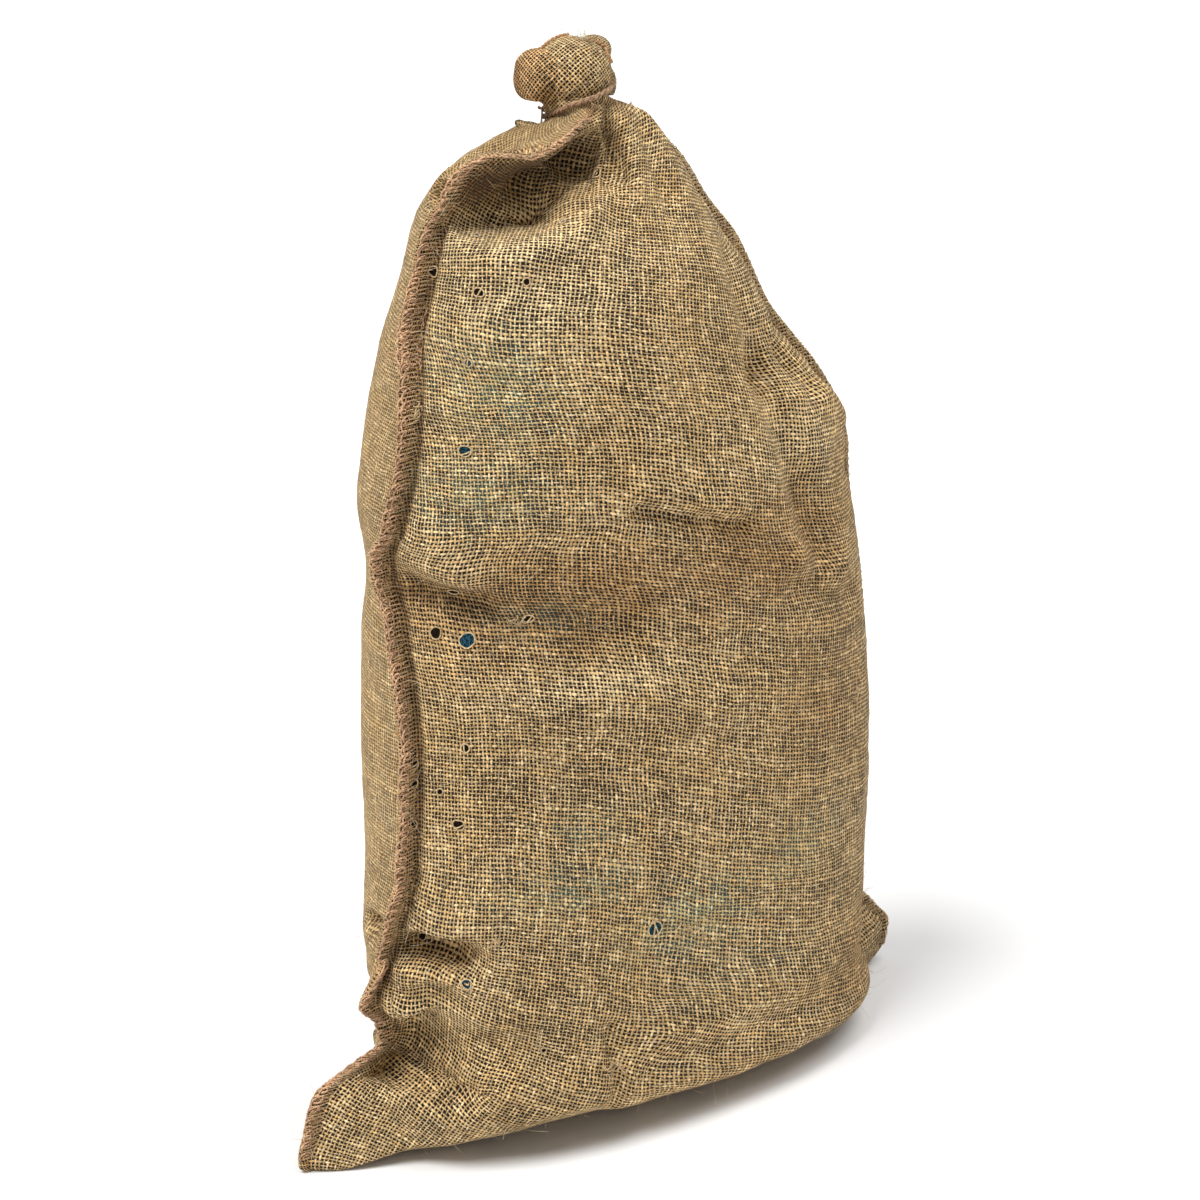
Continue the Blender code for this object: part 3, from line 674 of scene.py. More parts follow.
def sewn_in(grid, levels):
    """Draw the front in beside the welts, and let the left shoulder's seam hang over."""
    distance = seam_distance(grid)
    dip = TROUGH_DEPTH * beside_welts(distance, levels)
    lip = columns(LIP, LIP_COLUMNS, levels)
    reach = np.full(AROUND, LIP_REACH)
    reach[BACK_START:LEFT_WELT] = LIP_REACH_BACK
    near = np.exp(-((distance / reach) ** 2))
    near[:, RIGHT_HALF] = 0
    hang = np.stack((0 * near, -lip["out"][:, None] * near, lip["up"][:, None] * near), axis=-1)
    hung = grid - grid_normals(grid) * dip[..., None] + hang
    shoulder = (levels > SHELF_LEVELS[0]) & (levels < SHELF_LEVELS[1])
    height = hung[shoulder, BACK_MIDDLE:LEFT_WELT, 2]
    hung[shoulder, BACK_MIDDLE:LEFT_WELT, 2] = np.maximum.accumulate(height, axis=0)
    return hung


def lobe_reach(out, lobe):
    """How far a ray from the ball's middle runs before it leaves a lobe; 0 where it misses."""
    middle, half = np.array(lobe[:3]) - np.array(MOUTH_MIDDLE), np.array(lobe[3:])
    ray, start = out / half, middle / half
    square = np.sum(ray * ray, axis=-1)
    along = np.sum(ray * start, axis=-1)
    inner = along ** 2 - square * (np.sum(start * start) - 1)
    return np.where(inner > 0, (along + np.sqrt(np.maximum(inner, 0))) / square, 0)


def mouth_grid(grid, levels):
    """The bunched mouth above the tie, as a ball with lobes."""
    first, last = MOUTH_JOINS
    rise = np.clip((levels - first) / (levels[-1] - first), 0, 1)
    polar = (NECK_ANGLE * (1 - rise))[:, None]
    centre = np.array(MOUTH_MIDDLE)
    flat = grid[levels >= first][0] - centre
    turn = np.arctan2(flat[:, 1], flat[:, 0])[None, :]
    out = np.stack((
        np.sin(polar) * np.cos(turn),
        np.sin(polar) * np.sin(turn),
        np.cos(polar) * np.ones_like(turn),
    ), axis=-1)
    reach = np.full(out.shape[:2], MOUTH_RADIUS)
    for lobe in LOBES:
        reach = np.maximum(reach, lobe_reach(out, lobe))
    depth, count, start = MOUTH_PLEATS
    reach = reach + depth * np.cos(count * turn + start) * (polar / NECK_ANGLE) ** 3
    reach = reach + MOUTH_LUMPS[0] * noise(out, MOUTH_LUMPS[1], 3)
    ball = centre + out * reach[..., None]
    share = eased_step(levels, first, last)[:, None, None]
    tied = grid * (1 - share) + ball * share
    tied[..., 2] += neck_lift(tied, levels)
    return tied


def neck_lift(points, levels):
    """How far the tied neck is drawn up on its left."""
    lift, reach = NECK_TILT
    near = np.exp(-(((levels - TIE_LEVEL) / reach) ** 2))[:, None]
    centre, across, _ = neck_frame()
    return lift * near * np.clip((centre[0] - points[..., 0]) / across[0], 0, 1.2)


def softened(values, reach, axis):
    """Values evened out along one axis; the ring closes on itself, the columns do not."""
    if axis == 0:
        pad = int(3 * reach)
        values = np.concatenate((values[pad:0:-1], values, values[-2:-pad - 2:-1]), axis=0)
    turns = np.fft.fftfreq(values.shape[axis])
    keep = np.exp(-2 * (np.pi * turns * reach) ** 2)
    keep = keep[:, None] if axis == 0 else keep[None, :]
    values = np.fft.ifft(np.fft.fft(values, axis=axis) * keep, axis=axis).real
    return values[pad:-pad] if axis == 0 else values


def summed(steps, axis):
    """The running total of steps, from 0."""
    total = steps.cumsum(axis=axis)
    start = np.zeros_like(np.take(total, [0], axis=axis))
    return np.concatenate((start, total), axis=axis)


def spread(table, shares, level, share):
    """Read a table with a row for each level and a number for each share, at every point."""
    heights = np.array([row[0] for row in table])
    rows = np.array([row[1] for row in table])
    at_level = np.array([np.interp(level, heights, rows[:, k]) for k in range(len(shares))])
    return np.array([
        np.interp(share[i], shares, at_level[:, i]) for i in range(len(level))
    ])


def thread_map(panel, levels, steps, mirrored, ease):
    """Where the points of one panel lie on the flat cloth; its welt follows its last column."""
    across = softened(np.linalg.norm(np.diff(panel, axis=1), axis=2), THREAD_REACH, 0)
    run = summed(across, 1)
    width = run[:, steps:steps + 1]
    share = np.clip(run / width, 0, 1)
    share = 1 - share if mirrored else share
    middle = (share[:, 1:] + share[:, :-1]) / 2
    hand = -ease if mirrored else ease
    give = np.clip(CLOTH_WIDTH / width, 1 - STRETCH_LIMIT, 1 + STRETCH_LIMIT)
    close = np.interp(middle, [row[0] for row in WARP], [row[1] for row in WARP])
    anchor = np.abs(share[0] - ANCHOR_SHARE).argmin()
    u = summed(across * close, 1)
    u = (u - u[:, anchor:anchor + 1]) * give
    u = u + spread(SWAY, SWAY_SHARES, levels, share) * hand
    climb = np.linalg.norm(np.diff(panel[:, :steps + 1], axis=0), axis=2).mean(axis=1)
    close = columns(CLOSE, CLOSE_COLUMNS, (levels[1:] + levels[:-1]) / 2)["weft"]
    sink = summed(across * spread(DROP, DROP_SHARES, levels, middle) * hand, 1)
    v = summed(climb * close, 0)[:, None] + sink - sink[:, anchor:anchor + 1]
    own_climb = softened(np.linalg.norm(np.diff(panel, axis=0), axis=2), THREAD_REACH / 2, 1)
    own_climb = own_climb - climb[:, None]
    v = v + summed(own_climb * np.interp(levels[1:], DRAWN_LEVELS, (0, 1, 1))[:, None], 0)
    if mirrored:
        return u * BACK_CLOSE, v * BACK_CLOSE
    near = 1 - eased_step(share[1:], *EAR_CLIMB_SHARES)
    low = summed(own_climb * near * (levels[1:] < EAR_CLIMB_LEVEL)[:, None], 0)
    u, v = turned_ear(u, v + low - low[-1], levels)
    return slid(u, v, panel, levels, steps)


def eased_step(value, start, end):
    """From 0 at the start to 1 at the end, without a kink."""
    share = np.clip((value - start) / (end - start), 0, 1)
    return share * share * (3 - 2 * share)


def split_faces(rows, places):
    """Two triangles for every face of a panel."""
    first = (np.arange(rows - 1)[:, None] * places + np.arange(places - 1)).ravel()
    after, above, far = first + 1, first + places, first + places + 1
    return np.concatenate((np.stack((first, after, far), 1), np.stack((first, far, above), 1)))


def laid_flat(points, corners):
    """Every triangle laid flat: what each corner adds to the slopes across it, and its area."""
    base = points[corners[:, 1]] - points[corners[:, 0]]
    other = points[corners[:, 2]] - points[corners[:, 0]]
    length = np.linalg.norm(base, axis=1) + SMALL
    along = (base * other).sum(axis=1) / length
    high = np.maximum(np.linalg.norm(np.cross(base, other), axis=1) / length, THINNEST)
    slope_x = np.stack((-1 / length, 1 / length, np.zeros_like(length)), axis=1)
    slope_y = np.stack(((along / length - 1) / high, -along / length / high, 1 / high), axis=1)
    return np.stack((slope_x, slope_y), axis=2), length * high / 2


def slopes(spot, corners, parts):
    """How the threads' places change over every triangle: both ways across it, for u and for v."""
    return np.einsum("tcw,tck->twk", parts, spot[corners])


def pulls(slope, corners, parts, area, count):
    """What slopes over the triangles add up to at the points."""
    share = np.einsum("tcw,twk->tck", parts, slope * area[:, None, None])
    return np.stack([
        np.bincount(corners.ravel(), share[..., k].ravel(), count) for k in range(2)
    ], axis=1)


def turned_only(slope):
    """The slopes of threads that lie over each triangle turned, but neither spread nor closed."""
    twist = slope[:, 0, 0] * slope[:, 1, 1] - slope[:, 0, 1] * slope[:, 1, 0]
    side = np.sign(np.median(twist))
    cos = slope[:, 0, 0] + side * slope[:, 1, 1]
    sin = slope[:, 0, 1] - side * slope[:, 1, 0]
    size = np.hypot(cos, sin) + SMALL
    cos, sin = cos / size, sin / size
    return np.stack((np.stack((cos, sin), 1), np.stack((-side * sin, side * cos), 1)), axis=1)


def settled(spot, points, free):
    """Let the threads slide along the cloth until they lie evenly, where they are free to."""
    rows, places = free.shape
    corners = split_faces(rows, places)
    parts, area = laid_flat(points, corners)
    count = rows * places
    stiff = np.bincount(corners.ravel(), ((parts ** 2).sum(axis=2) * area[:, None]).ravel(), count)
    ease = (free.ravel() / (stiff + SMALL))[:, None]
    for _ in range(SLIDE_ROUNDS):
        slope = slopes(spot, corners, parts)
        left = pulls(turned_only(slope) - slope, corners, parts, area, count)
        way = ease * left
        power = (left * way).sum()
        for _ in range(SLIDE_STEPS):
            back = pulls(slopes(way, corners, parts), corners, parts, area, count)
            step = power / ((way * back).sum() + SMALL ** 2)
            spot = spot + step * way
            left = left - step * back
            eased = ease * left
            before, power = power, (left * eased).sum()
            way = eased + power / before * way
    return spot


def slid(u, v, panel, levels, steps):
    """Let the threads slide along the cloth where it is drawn into folds."""
    share = np.arange(steps + 1)[None, :] / steps
    for share_on, from_level, to_level, close in SLIDES:
        height = levels[:, None]
        free = ((share < share_on) & (height >= from_level) & (height <= to_level)) * 1.0
        used = np.nonzero(free.max(axis=1) > 0)[0]
        rows = slice(max(used[0] - 1, 0), used[-1] + 2)
        start = np.stack((u[rows, :steps + 1].ravel(), v[rows, :steps + 1].ravel()), axis=1)
        points = panel[rows, :steps + 1].reshape(-1, 3) * close
        spot = settled(start, points, free[rows]).reshape(-1, steps + 1, 2)
        u[rows, :steps + 1], v[rows, :steps + 1] = spot[..., 0], spot[..., 1]
    return u, v


def turned_ear(u, v, levels):
    """Turn the threads round the left ear, less and less with the way from it."""
    at = np.abs(levels - EAR_LEVEL).argmin()
    away_u, away_v = u - u[at, 0], v - v[at, 0]
    below = np.clip((EAR_LEVEL + EAR_REACH - levels) / EAR_REACH, 0, 1)[:, None]
    angle = EAR_TURN * np.exp(-((away_u / EAR_REACH) ** 2)) * below * below * (3 - 2 * below)
    cos, sin = np.cos(angle), np.sin(angle)
    return u[at, 0] + away_u * cos - away_v * sin, v[at, 0] + away_u * sin + away_v * cos


def weave_map(grid, levels):
    """For every face of the grid: where its four corners lie on the flat cloth, in metres."""
    ring_on = np.concatenate((grid, grid[:, :1]), axis=1)
    front = thread_map(ring_on[:, :BACK_START + 1], levels, FRONT_STEPS, False, 1.0)
    back = thread_map(ring_on[:, BACK_START:], levels, BACK_STEPS, True, BACK_EASE)
    u = np.concatenate((front[0][:, :-1], back[0][:, :-1]), axis=1)
    v = np.concatenate((front[1][:, :-1], back[1][:, :-1]), axis=1)
    u_end = np.concatenate((front[0][:, 1:], back[0][:, 1:]), axis=1)
    v_end = np.concatenate((front[1][:, 1:], back[1][:, 1:]), axis=1)
    corners = np.stack((
        np.stack((u[:-1], v[:-1]), axis=-1),
        np.stack((u_end[:-1], v_end[:-1]), axis=-1),
        np.stack((u_end[1:], v_end[1:]), axis=-1),
        np.stack((u[1:], v[1:]), axis=-1),
    ), axis=2)
    above = levels[:-1] >= TIE_LEVEL
    corners[above] = mouth_map(grid)[above]
    return corners


def mouth_map(grid):
    """The same for the bunched mouth: the cloth lies smooth over its front."""
    ring_on = np.concatenate((grid, grid[:, :1]), axis=1) - np.array(MOUTH_MIDDLE)
    front = unit(np.array(MOUTH_FRONT))
    side = unit(np.cross((0.0, 0.0, 1.0), front))
    up = np.cross(front, side)
    out = unit(ring_on)
    angle = np.arccos(np.clip(out @ front, -1, 1))
    flat = unit(np.stack((out @ side, out @ up), axis=-1))
    spot = flat * (angle * np.linalg.norm(ring_on, axis=-1) * MOUTH_CLOSE)[..., None]
    slant = np.array((
        (np.cos(MOUTH_TWIST), -np.sin(MOUTH_TWIST)),
        (np.sin(MOUTH_TWIST), np.cos(MOUTH_TWIST)),
    ))
    spot = spot @ slant + 1.0
    return np.stack((spot[:-1, :-1], spot[:-1, 1:], spot[1:, 1:], spot[1:, :-1]), axis=2)


def grid_faces(rings):
    """The four-sided faces between rings, which close on themselves."""
    low = np.arange(rings - 1)[:, None] * AROUND
    place = np.arange(AROUND)
    after = (place + 1) % AROUND
    high = low + AROUND
    quads = np.stack((low + place, low + after, high + after, high + place), axis=-1)
    return quads.reshape(-1, 4)


# Where the cloth is bluish, brown, darkened or pale: side, x, z, half width, half height, strength.
BLUE_PATCHES = (
    (FRONT, -0.100, 0.545, 0.030, 0.035, 0.8),
    (FRONT, -0.120, 0.480, 0.040, 0.022, 0.7),
    (FRONT, -0.080, 0.395, 0.028, 0.012, 0.6),
    (FRONT, -0.060, 0.245, 0.026, 0.014, 0.6),
    (FRONT, -0.070, 0.205, 0.045, 0.018, 0.8),
    (FRONT, 0.020, 0.160, 0.055, 0.030, 0.9),
    (FRONT, 0.110, 0.180, 0.040, 0.025, 0.7),
    (FRONT, 0.060, 0.110, 0.070, 0.022, 0.4),
    (BACK, 0.060, 0.220, 0.060, 0.030, 0.6),
    (BACK, -0.050, 0.420, 0.050, 0.030, 0.5),
)
BROWN_PATCHES = (
    (FRONT, -0.060, 0.405, 0.110, 0.045, 0.8),
    (FRONT, 0.060, 0.400, 0.120, 0.050, 0.7),
    (FRONT, 0.150, 0.300, 0.060, 0.090, 0.4),
    # Painted shade: this brown darkens the pocket under the left shoulder's lip.
    (FRONT, -0.110, 0.660, 0.060, 0.020, 0.8),
    (FRONT, -0.036, 0.706, 0.010, 0.024, 1.0),
    (FRONT, 0.028, 0.712, 0.009, 0.020, 1.0),
    (BACK, -0.036, 0.706, 0.010, 0.024, 1.0),
    (FRONT, 0.190, 0.060, 0.060, 0.060, 0.5),
    (BACK, 0.000, 0.450, 0.120, 0.060, 0.5),
    (BACK, 0.050, 0.100, 0.100, 0.040, 0.4),
)
# Painted shade: the pocket under the left shoulder's lip, the neck's fold, the folds beside the
# mouth's lobes, along the tie, and three creases of the left side.
SHADE_PATCHES = (
    (FRONT, -0.080, 0.658, 0.024, 0.017, 1.0),
    (FRONT, -0.055, 0.662, 0.026, 0.018, 1.0),
    (FRONT, -0.026, 0.668, 0.020, 0.014, 1.0),
    (FRONT, 0.004, 0.672, 0.005, 0.018, 0.7),
    (FRONT, -0.0215, 0.706, 0.0022, 0.018, 0.6),
    (FRONT, 0.020, 0.698, 0.0022, 0.012, 0.6),
    (FRONT, 0.006, 0.6925, 0.024, 0.0035, 0.7),
    (FRONT, -0.136, 0.407, 0.020, 0.006, 0.5),
    (FRONT, -0.150, 0.158, 0.020, 0.007, 0.6),
    (FRONT, -0.160, 0.066, 0.026, 0.006, 0.7),
)
PALE_PATCHES = (
    (FRONT, -0.040, 0.345, 0.110, 0.012, 0.8),
    (FRONT, -0.060, 0.600, 0.070, 0.030, 0.7),
    (FRONT, 0.110, 0.470, 0.060, 0.040, 0.5),
    (FRONT, -0.130, 0.430, 0.020, 0.020, 0.6),
    # Painted light: the next two lighten the lit top of the left shoulder and the roll of the left
    # ear.
    (FRONT, -0.060, 0.628, 0.050, 0.012, 1.0),
    (FRONT, -0.150, 0.105, 0.020, 0.016, 1.0),
    (BACK, -0.100, 0.300, 0.060, 0.150, 0.4),
)
# Painted shade, darker low down and at the right: by its height right of a place, and by its place
# below a height.
LOW_LEVELS, LOW_SHADE, LOW_FROM = (0.0, 0.30, 0.42), (0.10, 0.08, 0.0), -0.12
RIGHT_PLACES, RIGHT_SHADE, RIGHT_FADE = (0.06, 0.18, 0.25), (0.0, 0.14, 0.22), (0.35, 0.50)
# Painted shade in the troughs beside the welts.
TROUGH_SHADE = 0.90         # beside the welts
SEAM_STAIN = 0.003          # how far from a seam the cloth is reddish
SEAM_STAIN_RIGHT = 0.3      # how strongly it is so at the right
LOBE_STAIN = (0.014, 0.010)     # how far left of the mouth's middle that starts, and grows
PATCH_FACING = (0.6, 3)     # a patch's share edge-on, and how fast it grows towards its side


def patches(grid, facing, table):
    """How strongly the patches of a table colour every point, from 0 to 1."""
    found = np.zeros(grid.shape[:2])
    for side, at_x, at_z, half_x, half_z, strength in table:
        away = ((grid[..., 0] - at_x) / half_x) ** 2 + ((grid[..., 2] - at_z) / half_z) ** 2
        turned = np.clip(PATCH_FACING[0] + PATCH_FACING[1] * side * facing, 0, 1)
        near = strength * np.exp(-away) * turned
        panel = slice(0, RIGHT_WELT) if side == FRONT else slice(BACK_START, LEFT_WELT)
        found[:, panel] = np.maximum(found[:, panel], near[:, panel])
    return found


def stain_share(grid, levels, distance):
    """How reddish the cloth is along its seams and on the mouth's left lobe."""
    above = levels > TIE_LEVEL
    seam = np.exp(-(distance / SEAM_STAIN) ** 2)
    seam[above] = 0
    seam[:, RIGHT_HALF] *= SEAM_STAIN_RIGHT
    start, width = LOBE_STAIN
    lobe = np.clip((MOUTH_MIDDLE[0] - start - grid[..., 0]) / width, 0, 1) * above[:, None]
    return np.maximum(seam, lobe)


def painted_shade_share(grid, levels, distance, dark):
    """How dark the painted shade makes the cloth: in the shade patches, low down, at the right, and
    where it is drawn in beside a welt.
    """
    x, z = grid[..., 0], grid[..., 2]
    low = np.interp(z, LOW_LEVELS, LOW_SHADE) * (x > LOW_FROM)
    right = np.interp(x, RIGHT_PLACES, RIGHT_SHADE) * np.interp(z, RIGHT_FADE, (1, 0))
    trough = TROUGH_SHADE * beside_welts(distance, levels)
    return np.maximum(np.maximum(dark, trough), low + right)


def zone_colours(grid, levels):
    """What the material needs at each point: (blue, brown, pale, reddish), (painted shade, back,
    mouth).
    """
    facing = grid_normals(grid)[..., 1]
    distance = seam_distance(grid)
    blue, brown, pale, dark = (
        patches(grid, facing, table)
        for table in (BLUE_PATCHES, BROWN_PATCHES, PALE_PATCHES, SHADE_PATCHES)
    )
    shade = np.zeros(blue.shape + (4,))
    shade[..., 0] = painted_shade_share(grid, levels, distance, dark)
    shade[:, BACK_START:LEFT_WELT, 1] = 1
    shade[levels > TIE_LEVEL, :, 1:3] = (0, 1)
    return np.stack((blue, brown, pale, stain_share(grid, levels, distance)), axis=-1), shade


def cloth_mesh(grid, levels):
    """The sack as one closed mesh, with the weave's map and its zones."""
    rings = len(levels)
    faces = grid_faces(rings).tolist()
    faces.append(tuple(reversed(range(AROUND))))
    faces.append(tuple(range((rings - 1) * AROUND, rings * AROUND)))
    mesh = bpy.data.meshes.new("sack_cloth")
    mesh.from_pydata(grid.reshape(-1, 3).tolist(), [], faces)
    weave = mesh.uv_layers.new(name="weave")
    spots = weave_map(grid, levels).reshape(-1, 2)
    bottom = grid[0, ::-1, :2]
    top = grid[-1, :, :2]
    weave.data.foreach_set("uv", np.concatenate((spots, bottom, top)).ravel())
    for name, colours in zip(("zones", "painted_shade"), zone_colours(grid, levels)):
        zones = mesh.color_attributes.new(name=name, type="FLOAT_COLOR", domain="POINT")
        zones.data.foreach_set("color", colours.ravel())
    mesh.validate()
    mesh.shade_smooth()
    return mesh


# ---- Materials -------------------------------------------------------------------------

class Signal:
    """A socket of a material's node tree, which can be added, multiplied and so on."""

    def __init__(self, tree, socket):
        self.tree = tree
        self.socket = socket

    def math(self, operation, *others):
        node = self.tree.nodes.new("ShaderNodeMath")
        node.operation = operation
        for slot, value in zip(node.inputs, (self, *others)):
            feed(self.tree, slot, value)
        return Signal(self.tree, node.outputs[0])

    def __add__(self, other):
        return self.math("ADD", other)

    def __sub__(self, other):
        return self.math("SUBTRACT", other)

    def __mul__(self, other):
        return self.math("MULTIPLY", other)

    def __truediv__(self, other):
        return self.math("DIVIDE", other)

    def floor(self):
        return self.math("FLOOR")

    def larger(self, other):
        return self.math("MAXIMUM", other)

    def between(self, low, high, to_low=0.0, to_high=1.0):
        """Move a range onto another, smoothly, and hold it there."""
        node = self.tree.nodes.new("ShaderNodeMapRange")
        node.interpolation_type = "SMOOTHSTEP"
        for slot, value in zip(node.inputs, (self, low, high, to_low, to_high)):
            feed(self.tree, slot, value)
        return Signal(self.tree, node.outputs[0])


def feed(tree, slot, value):
    """Join a signal to a socket, or set the socket's own value."""
    if isinstance(value, Signal):
        tree.links.new(value.socket, slot)
    else:
        slot.default_value = value


class Paint:
    """A material's node tree and the few kinds of node that the materials here need."""

    def __init__(self, name, roughness, sheen=0.0):
        self.material = bpy.data.materials.new(name)
        self.material.use_nodes = True
        self.tree = self.material.node_tree
        self.shader = self.tree.nodes["Principled BSDF"]
        self.shader.inputs["Roughness"].default_value = roughness
        self.shader.inputs["Specular IOR Level"].default_value = 0.15
        self.shader.inputs["Sheen Weight"].default_value = sheen
        self.shader.inputs["Sheen Roughness"].default_value = 0.6
        self.shader.inputs["Sheen Tint"].default_value = (0.9, 0.75, 0.5, 1.0)

    def node(self, kind, **settings):
        node = self.tree.nodes.new(kind)
        for name, value in settings.items():
            setattr(node, name, value)
        return node

    def signal(self, socket):
        return Signal(self.tree, socket)

    def uv(self, layer):
        node = self.node("ShaderNodeUVMap", uv_map=layer)
        return self.split(self.signal(node.outputs[0]))

    def attribute(self, name):
        node = self.node("ShaderNodeAttribute", attribute_name=name)
        return [*self.split(self.signal(node.outputs["Color"])), self.signal(node.outputs["Alpha"])]

    def place(self):
        node = self.node("ShaderNodeTexCoord")
        return self.signal(node.outputs["Object"])

    def split(self, vector):
        node = self.node("ShaderNodeSeparateXYZ")
        feed(self.tree, node.inputs[0], vector)
        return [self.signal(out) for out in node.outputs]

    def vector(self, x, y, z=0.0):
        node = self.node("ShaderNodeCombineXYZ")
        for slot, value in zip(node.inputs, (x, y, z)):
            feed(self.tree, slot, value)
        return self.signal(node.outputs[0])

    def noise(self, vector, scale, detail=2.0, roughness=0.5):
        node = self.node("ShaderNodeTexNoise")
        feed(self.tree, node.inputs["Vector"], vector)
        node.inputs["Scale"].default_value = scale
        node.inputs["Detail"].default_value = detail
        node.inputs["Roughness"].default_value = roughness
        return self.signal(node.outputs["Fac"])

    def chance(self, vector):
        node = self.node("ShaderNodeTexWhiteNoise", noise_dimensions="3D")
        feed(self.tree, node.inputs["Vector"], vector)
        return self.signal(node.outputs["Value"])

    def mix(self, share, first, second, blend="MIX"):
        node = self.node("ShaderNodeMix", data_type="RGBA", blend_type=blend)
        feed(self.tree, node.inputs["Factor"], share)
        colour_slots = [slot for slot in node.inputs if slot.type == "RGBA"]
        feed(self.tree, colour_slots[0], first)
        feed(self.tree, colour_slots[1], second)
        outs = [slot for slot in node.outputs if slot.type == "RGBA"]
        return self.signal(outs[0])

    def darken(self, colour, tone):
        """A colour made lighter or darker by a signal."""
        return self.mix(1.0, colour, self.vector(tone, tone, tone), "MULTIPLY")

    def tint(self, share, colour, tint):
        return self.mix(share, colour, self.mix(1.0, colour, tint, "MULTIPLY"))

    def colour(self, value):
        self.tree.links.new(value.socket, self.shader.inputs["Base Color"])

    def bump(self, height, distance, strength=1.0):
        node = self.node("ShaderNodeBump")
        node.inputs["Strength"].default_value = strength
        node.inputs["Distance"].default_value = distance
        self.tree.links.new(height.socket, node.inputs["Height"])
        self.tree.links.new(node.outputs["Normal"], self.shader.inputs["Normal"])


# Colours of jute, as light as each really is, save the near-black gap colours and the shade tint,
# which are painted shade.
PALE = (0.62, 0.475, 0.265, 1.0)
GOLD = (0.42, 0.265, 0.105, 1.0)
DULL = (0.34, 0.235, 0.120, 1.0)
ORANGE = (0.34, 0.160, 0.055, 1.0)
# Painted shade: the unlit inside seen through the weave's gaps, bluish where the filling shows.
GAP_SHADE = (0.011, 0.006, 0.003, 1.0)
BLUE_GAP_SHADE = (0.040, 0.080, 0.080, 1.0)
BACK_GAP = (0.15, 0.095, 0.045, 1.0)        # the back is woven closer
COOL = (0.66, 0.95, 1.00, 1.0)
RUST = (1.00, 0.80, 0.68, 1.0)
# Painted shade: the tint that darkens the folds, the troughs, the lower part and the right side.
SHADE_TINT = (0.20, 0.135, 0.085, 1.0)
BROWN = (0.70, 0.60, 0.52, 1.0)


# Threads and loose yarns: their dark and their light fibres.
YARNS = {
    "jute_thread": ((0.24, 0.110, 0.052, 1.0), (0.82, 0.530, 0.320, 1.0)),
    "pale_thread": ((0.30, 0.190, 0.095, 1.0), (0.74, 0.560, 0.330, 1.0)),
    "hem_thread": ((0.20, 0.085, 0.034, 1.0), (0.60, 0.350, 0.160, 1.0)),
    "jute_twine": ((0.20, 0.105, 0.060, 1.0), (0.48, 0.310, 0.190, 1.0)),
    "loose_yarn": ((0.40, 0.255, 0.120, 1.0), (0.72, 0.560, 0.330, 1.0)),
    "stray_fibre": ((0.50, 0.360, 0.200, 1.0), (0.80, 0.680, 0.460, 1.0)),
}
# What shows inside the snags, painted as the shaded inside: how dark, and the filling's colour.
HOLES = {
    "snag_dark": ((0.003, 0.002, 0.001, 1.0), (0.020, 0.012, 0.006, 1.0)),
    "snag_blue": ((0.002, 0.007, 0.011, 1.0), (0.030, 0.110, 0.160, 1.0)),
}
# A yarn's half width in shares of the pitch; how it differs from yarn to yarn, and along one.
WARP_YARN = (0.194, 0.08, 0.26)
WEFT_YARN = (0.202, 0.10, 0.32)
# How the threads wander: the noise's scale and detail, and by how many threads.
THREAD_WANDER = ((16.0, 2.0, 2.6), (120.0, 1.0, 0.45))
SLUB_SCALE = 60.0           # of the thicker and thinner stretches along a yarn
GRAIN = (2200.0, 700.0, 350.0)      # of a yarn's fibres: across it, on the slant, along it
YARN_EDGE = (-0.10, 0.25)   # over which a yarn's edge fades into the gap beside it
YARN_ROUND, YARN_LIFT = 0.55, 0.42      # how round a yarn is, and how far it goes over and under
GAP_DEPTH = 1.6
TOP_BLEND = 0.04            # the difference in height over which one yarn covers the other
CORNER_LUCK = 0.12          # how unequal the gaps are
MOUTH_THIN = 0.02           # the mouth's yarns are this much thinner
CELL_TONES = (0.74, 1.20)   # the darkest and the lightest crossing
# Painted shade deep between the yarns, and painted highlight on their tops:
SHADE_AND_HIGHLIGHT_TONES = (0.05, 1.76)  # how light the cloth is deep between yarns, and on top of them
BACK_SHOW, BACK_LIGHT = 0.75, 0.4       # how closely woven the back looks, and how evenly lit
CLOTH_BUMP, FIBRE_BUMP = 0.001, 0.12
# How strongly each colour lies on the cloth.
GOLD_SHARE, PALE_SHARE, ORANGE_SHARE = 0.35, 0.5, 0.6
BLUE_SHARE, RUST_SHARE = 0.6, 0.6


def thread_count(paint, flat, pitch, spot):
    """Threads counted along the cloth; they wander, and in places they lie closer."""
    broad, fine = (
        (paint.noise(spot, scale, detail) - 0.5) * threads for scale, detail, threads in THREAD_WANDER
    )
    return flat / pitch + (broad + fine)


def yarn_half(size, random, slub, thin):
    """Half a yarn's width, in shares of the pitch."""
    half, by_yarn, along = size
    return random * by_yarn + (slub - 0.5) * along + half + thin


def yarn_relief(across, half, lift):
    """Where a yarn covers the cloth, and how high it stands there."""
    round_here = (across / half).math("POWER", 2.0) * -1.0 + 1.0
    inside = round_here.between(*YARN_EDGE)
    height = round_here.larger(0.0).math("SQRT") * YARN_ROUND + lift * YARN_LIFT
    return inside, height - (inside * -GAP_DEPTH + GAP_DEPTH)


def yarn_colour(paint, random, slub, fibre):
    """A yarn's own colour, paler where it is thick, with pale and orange fibres."""
    colour = paint.mix(random.between(0.15, 0.80), DULL, GOLD)
    colour = paint.mix(slub.between(0.46, 0.66) * 0.7, colour, PALE)
    colour = paint.mix(fibre.between(0.48, 0.72) * 0.8, colour, PALE)
    return paint.mix(fibre.between(0.46, 0.28) * 0.7, colour, ORANGE)


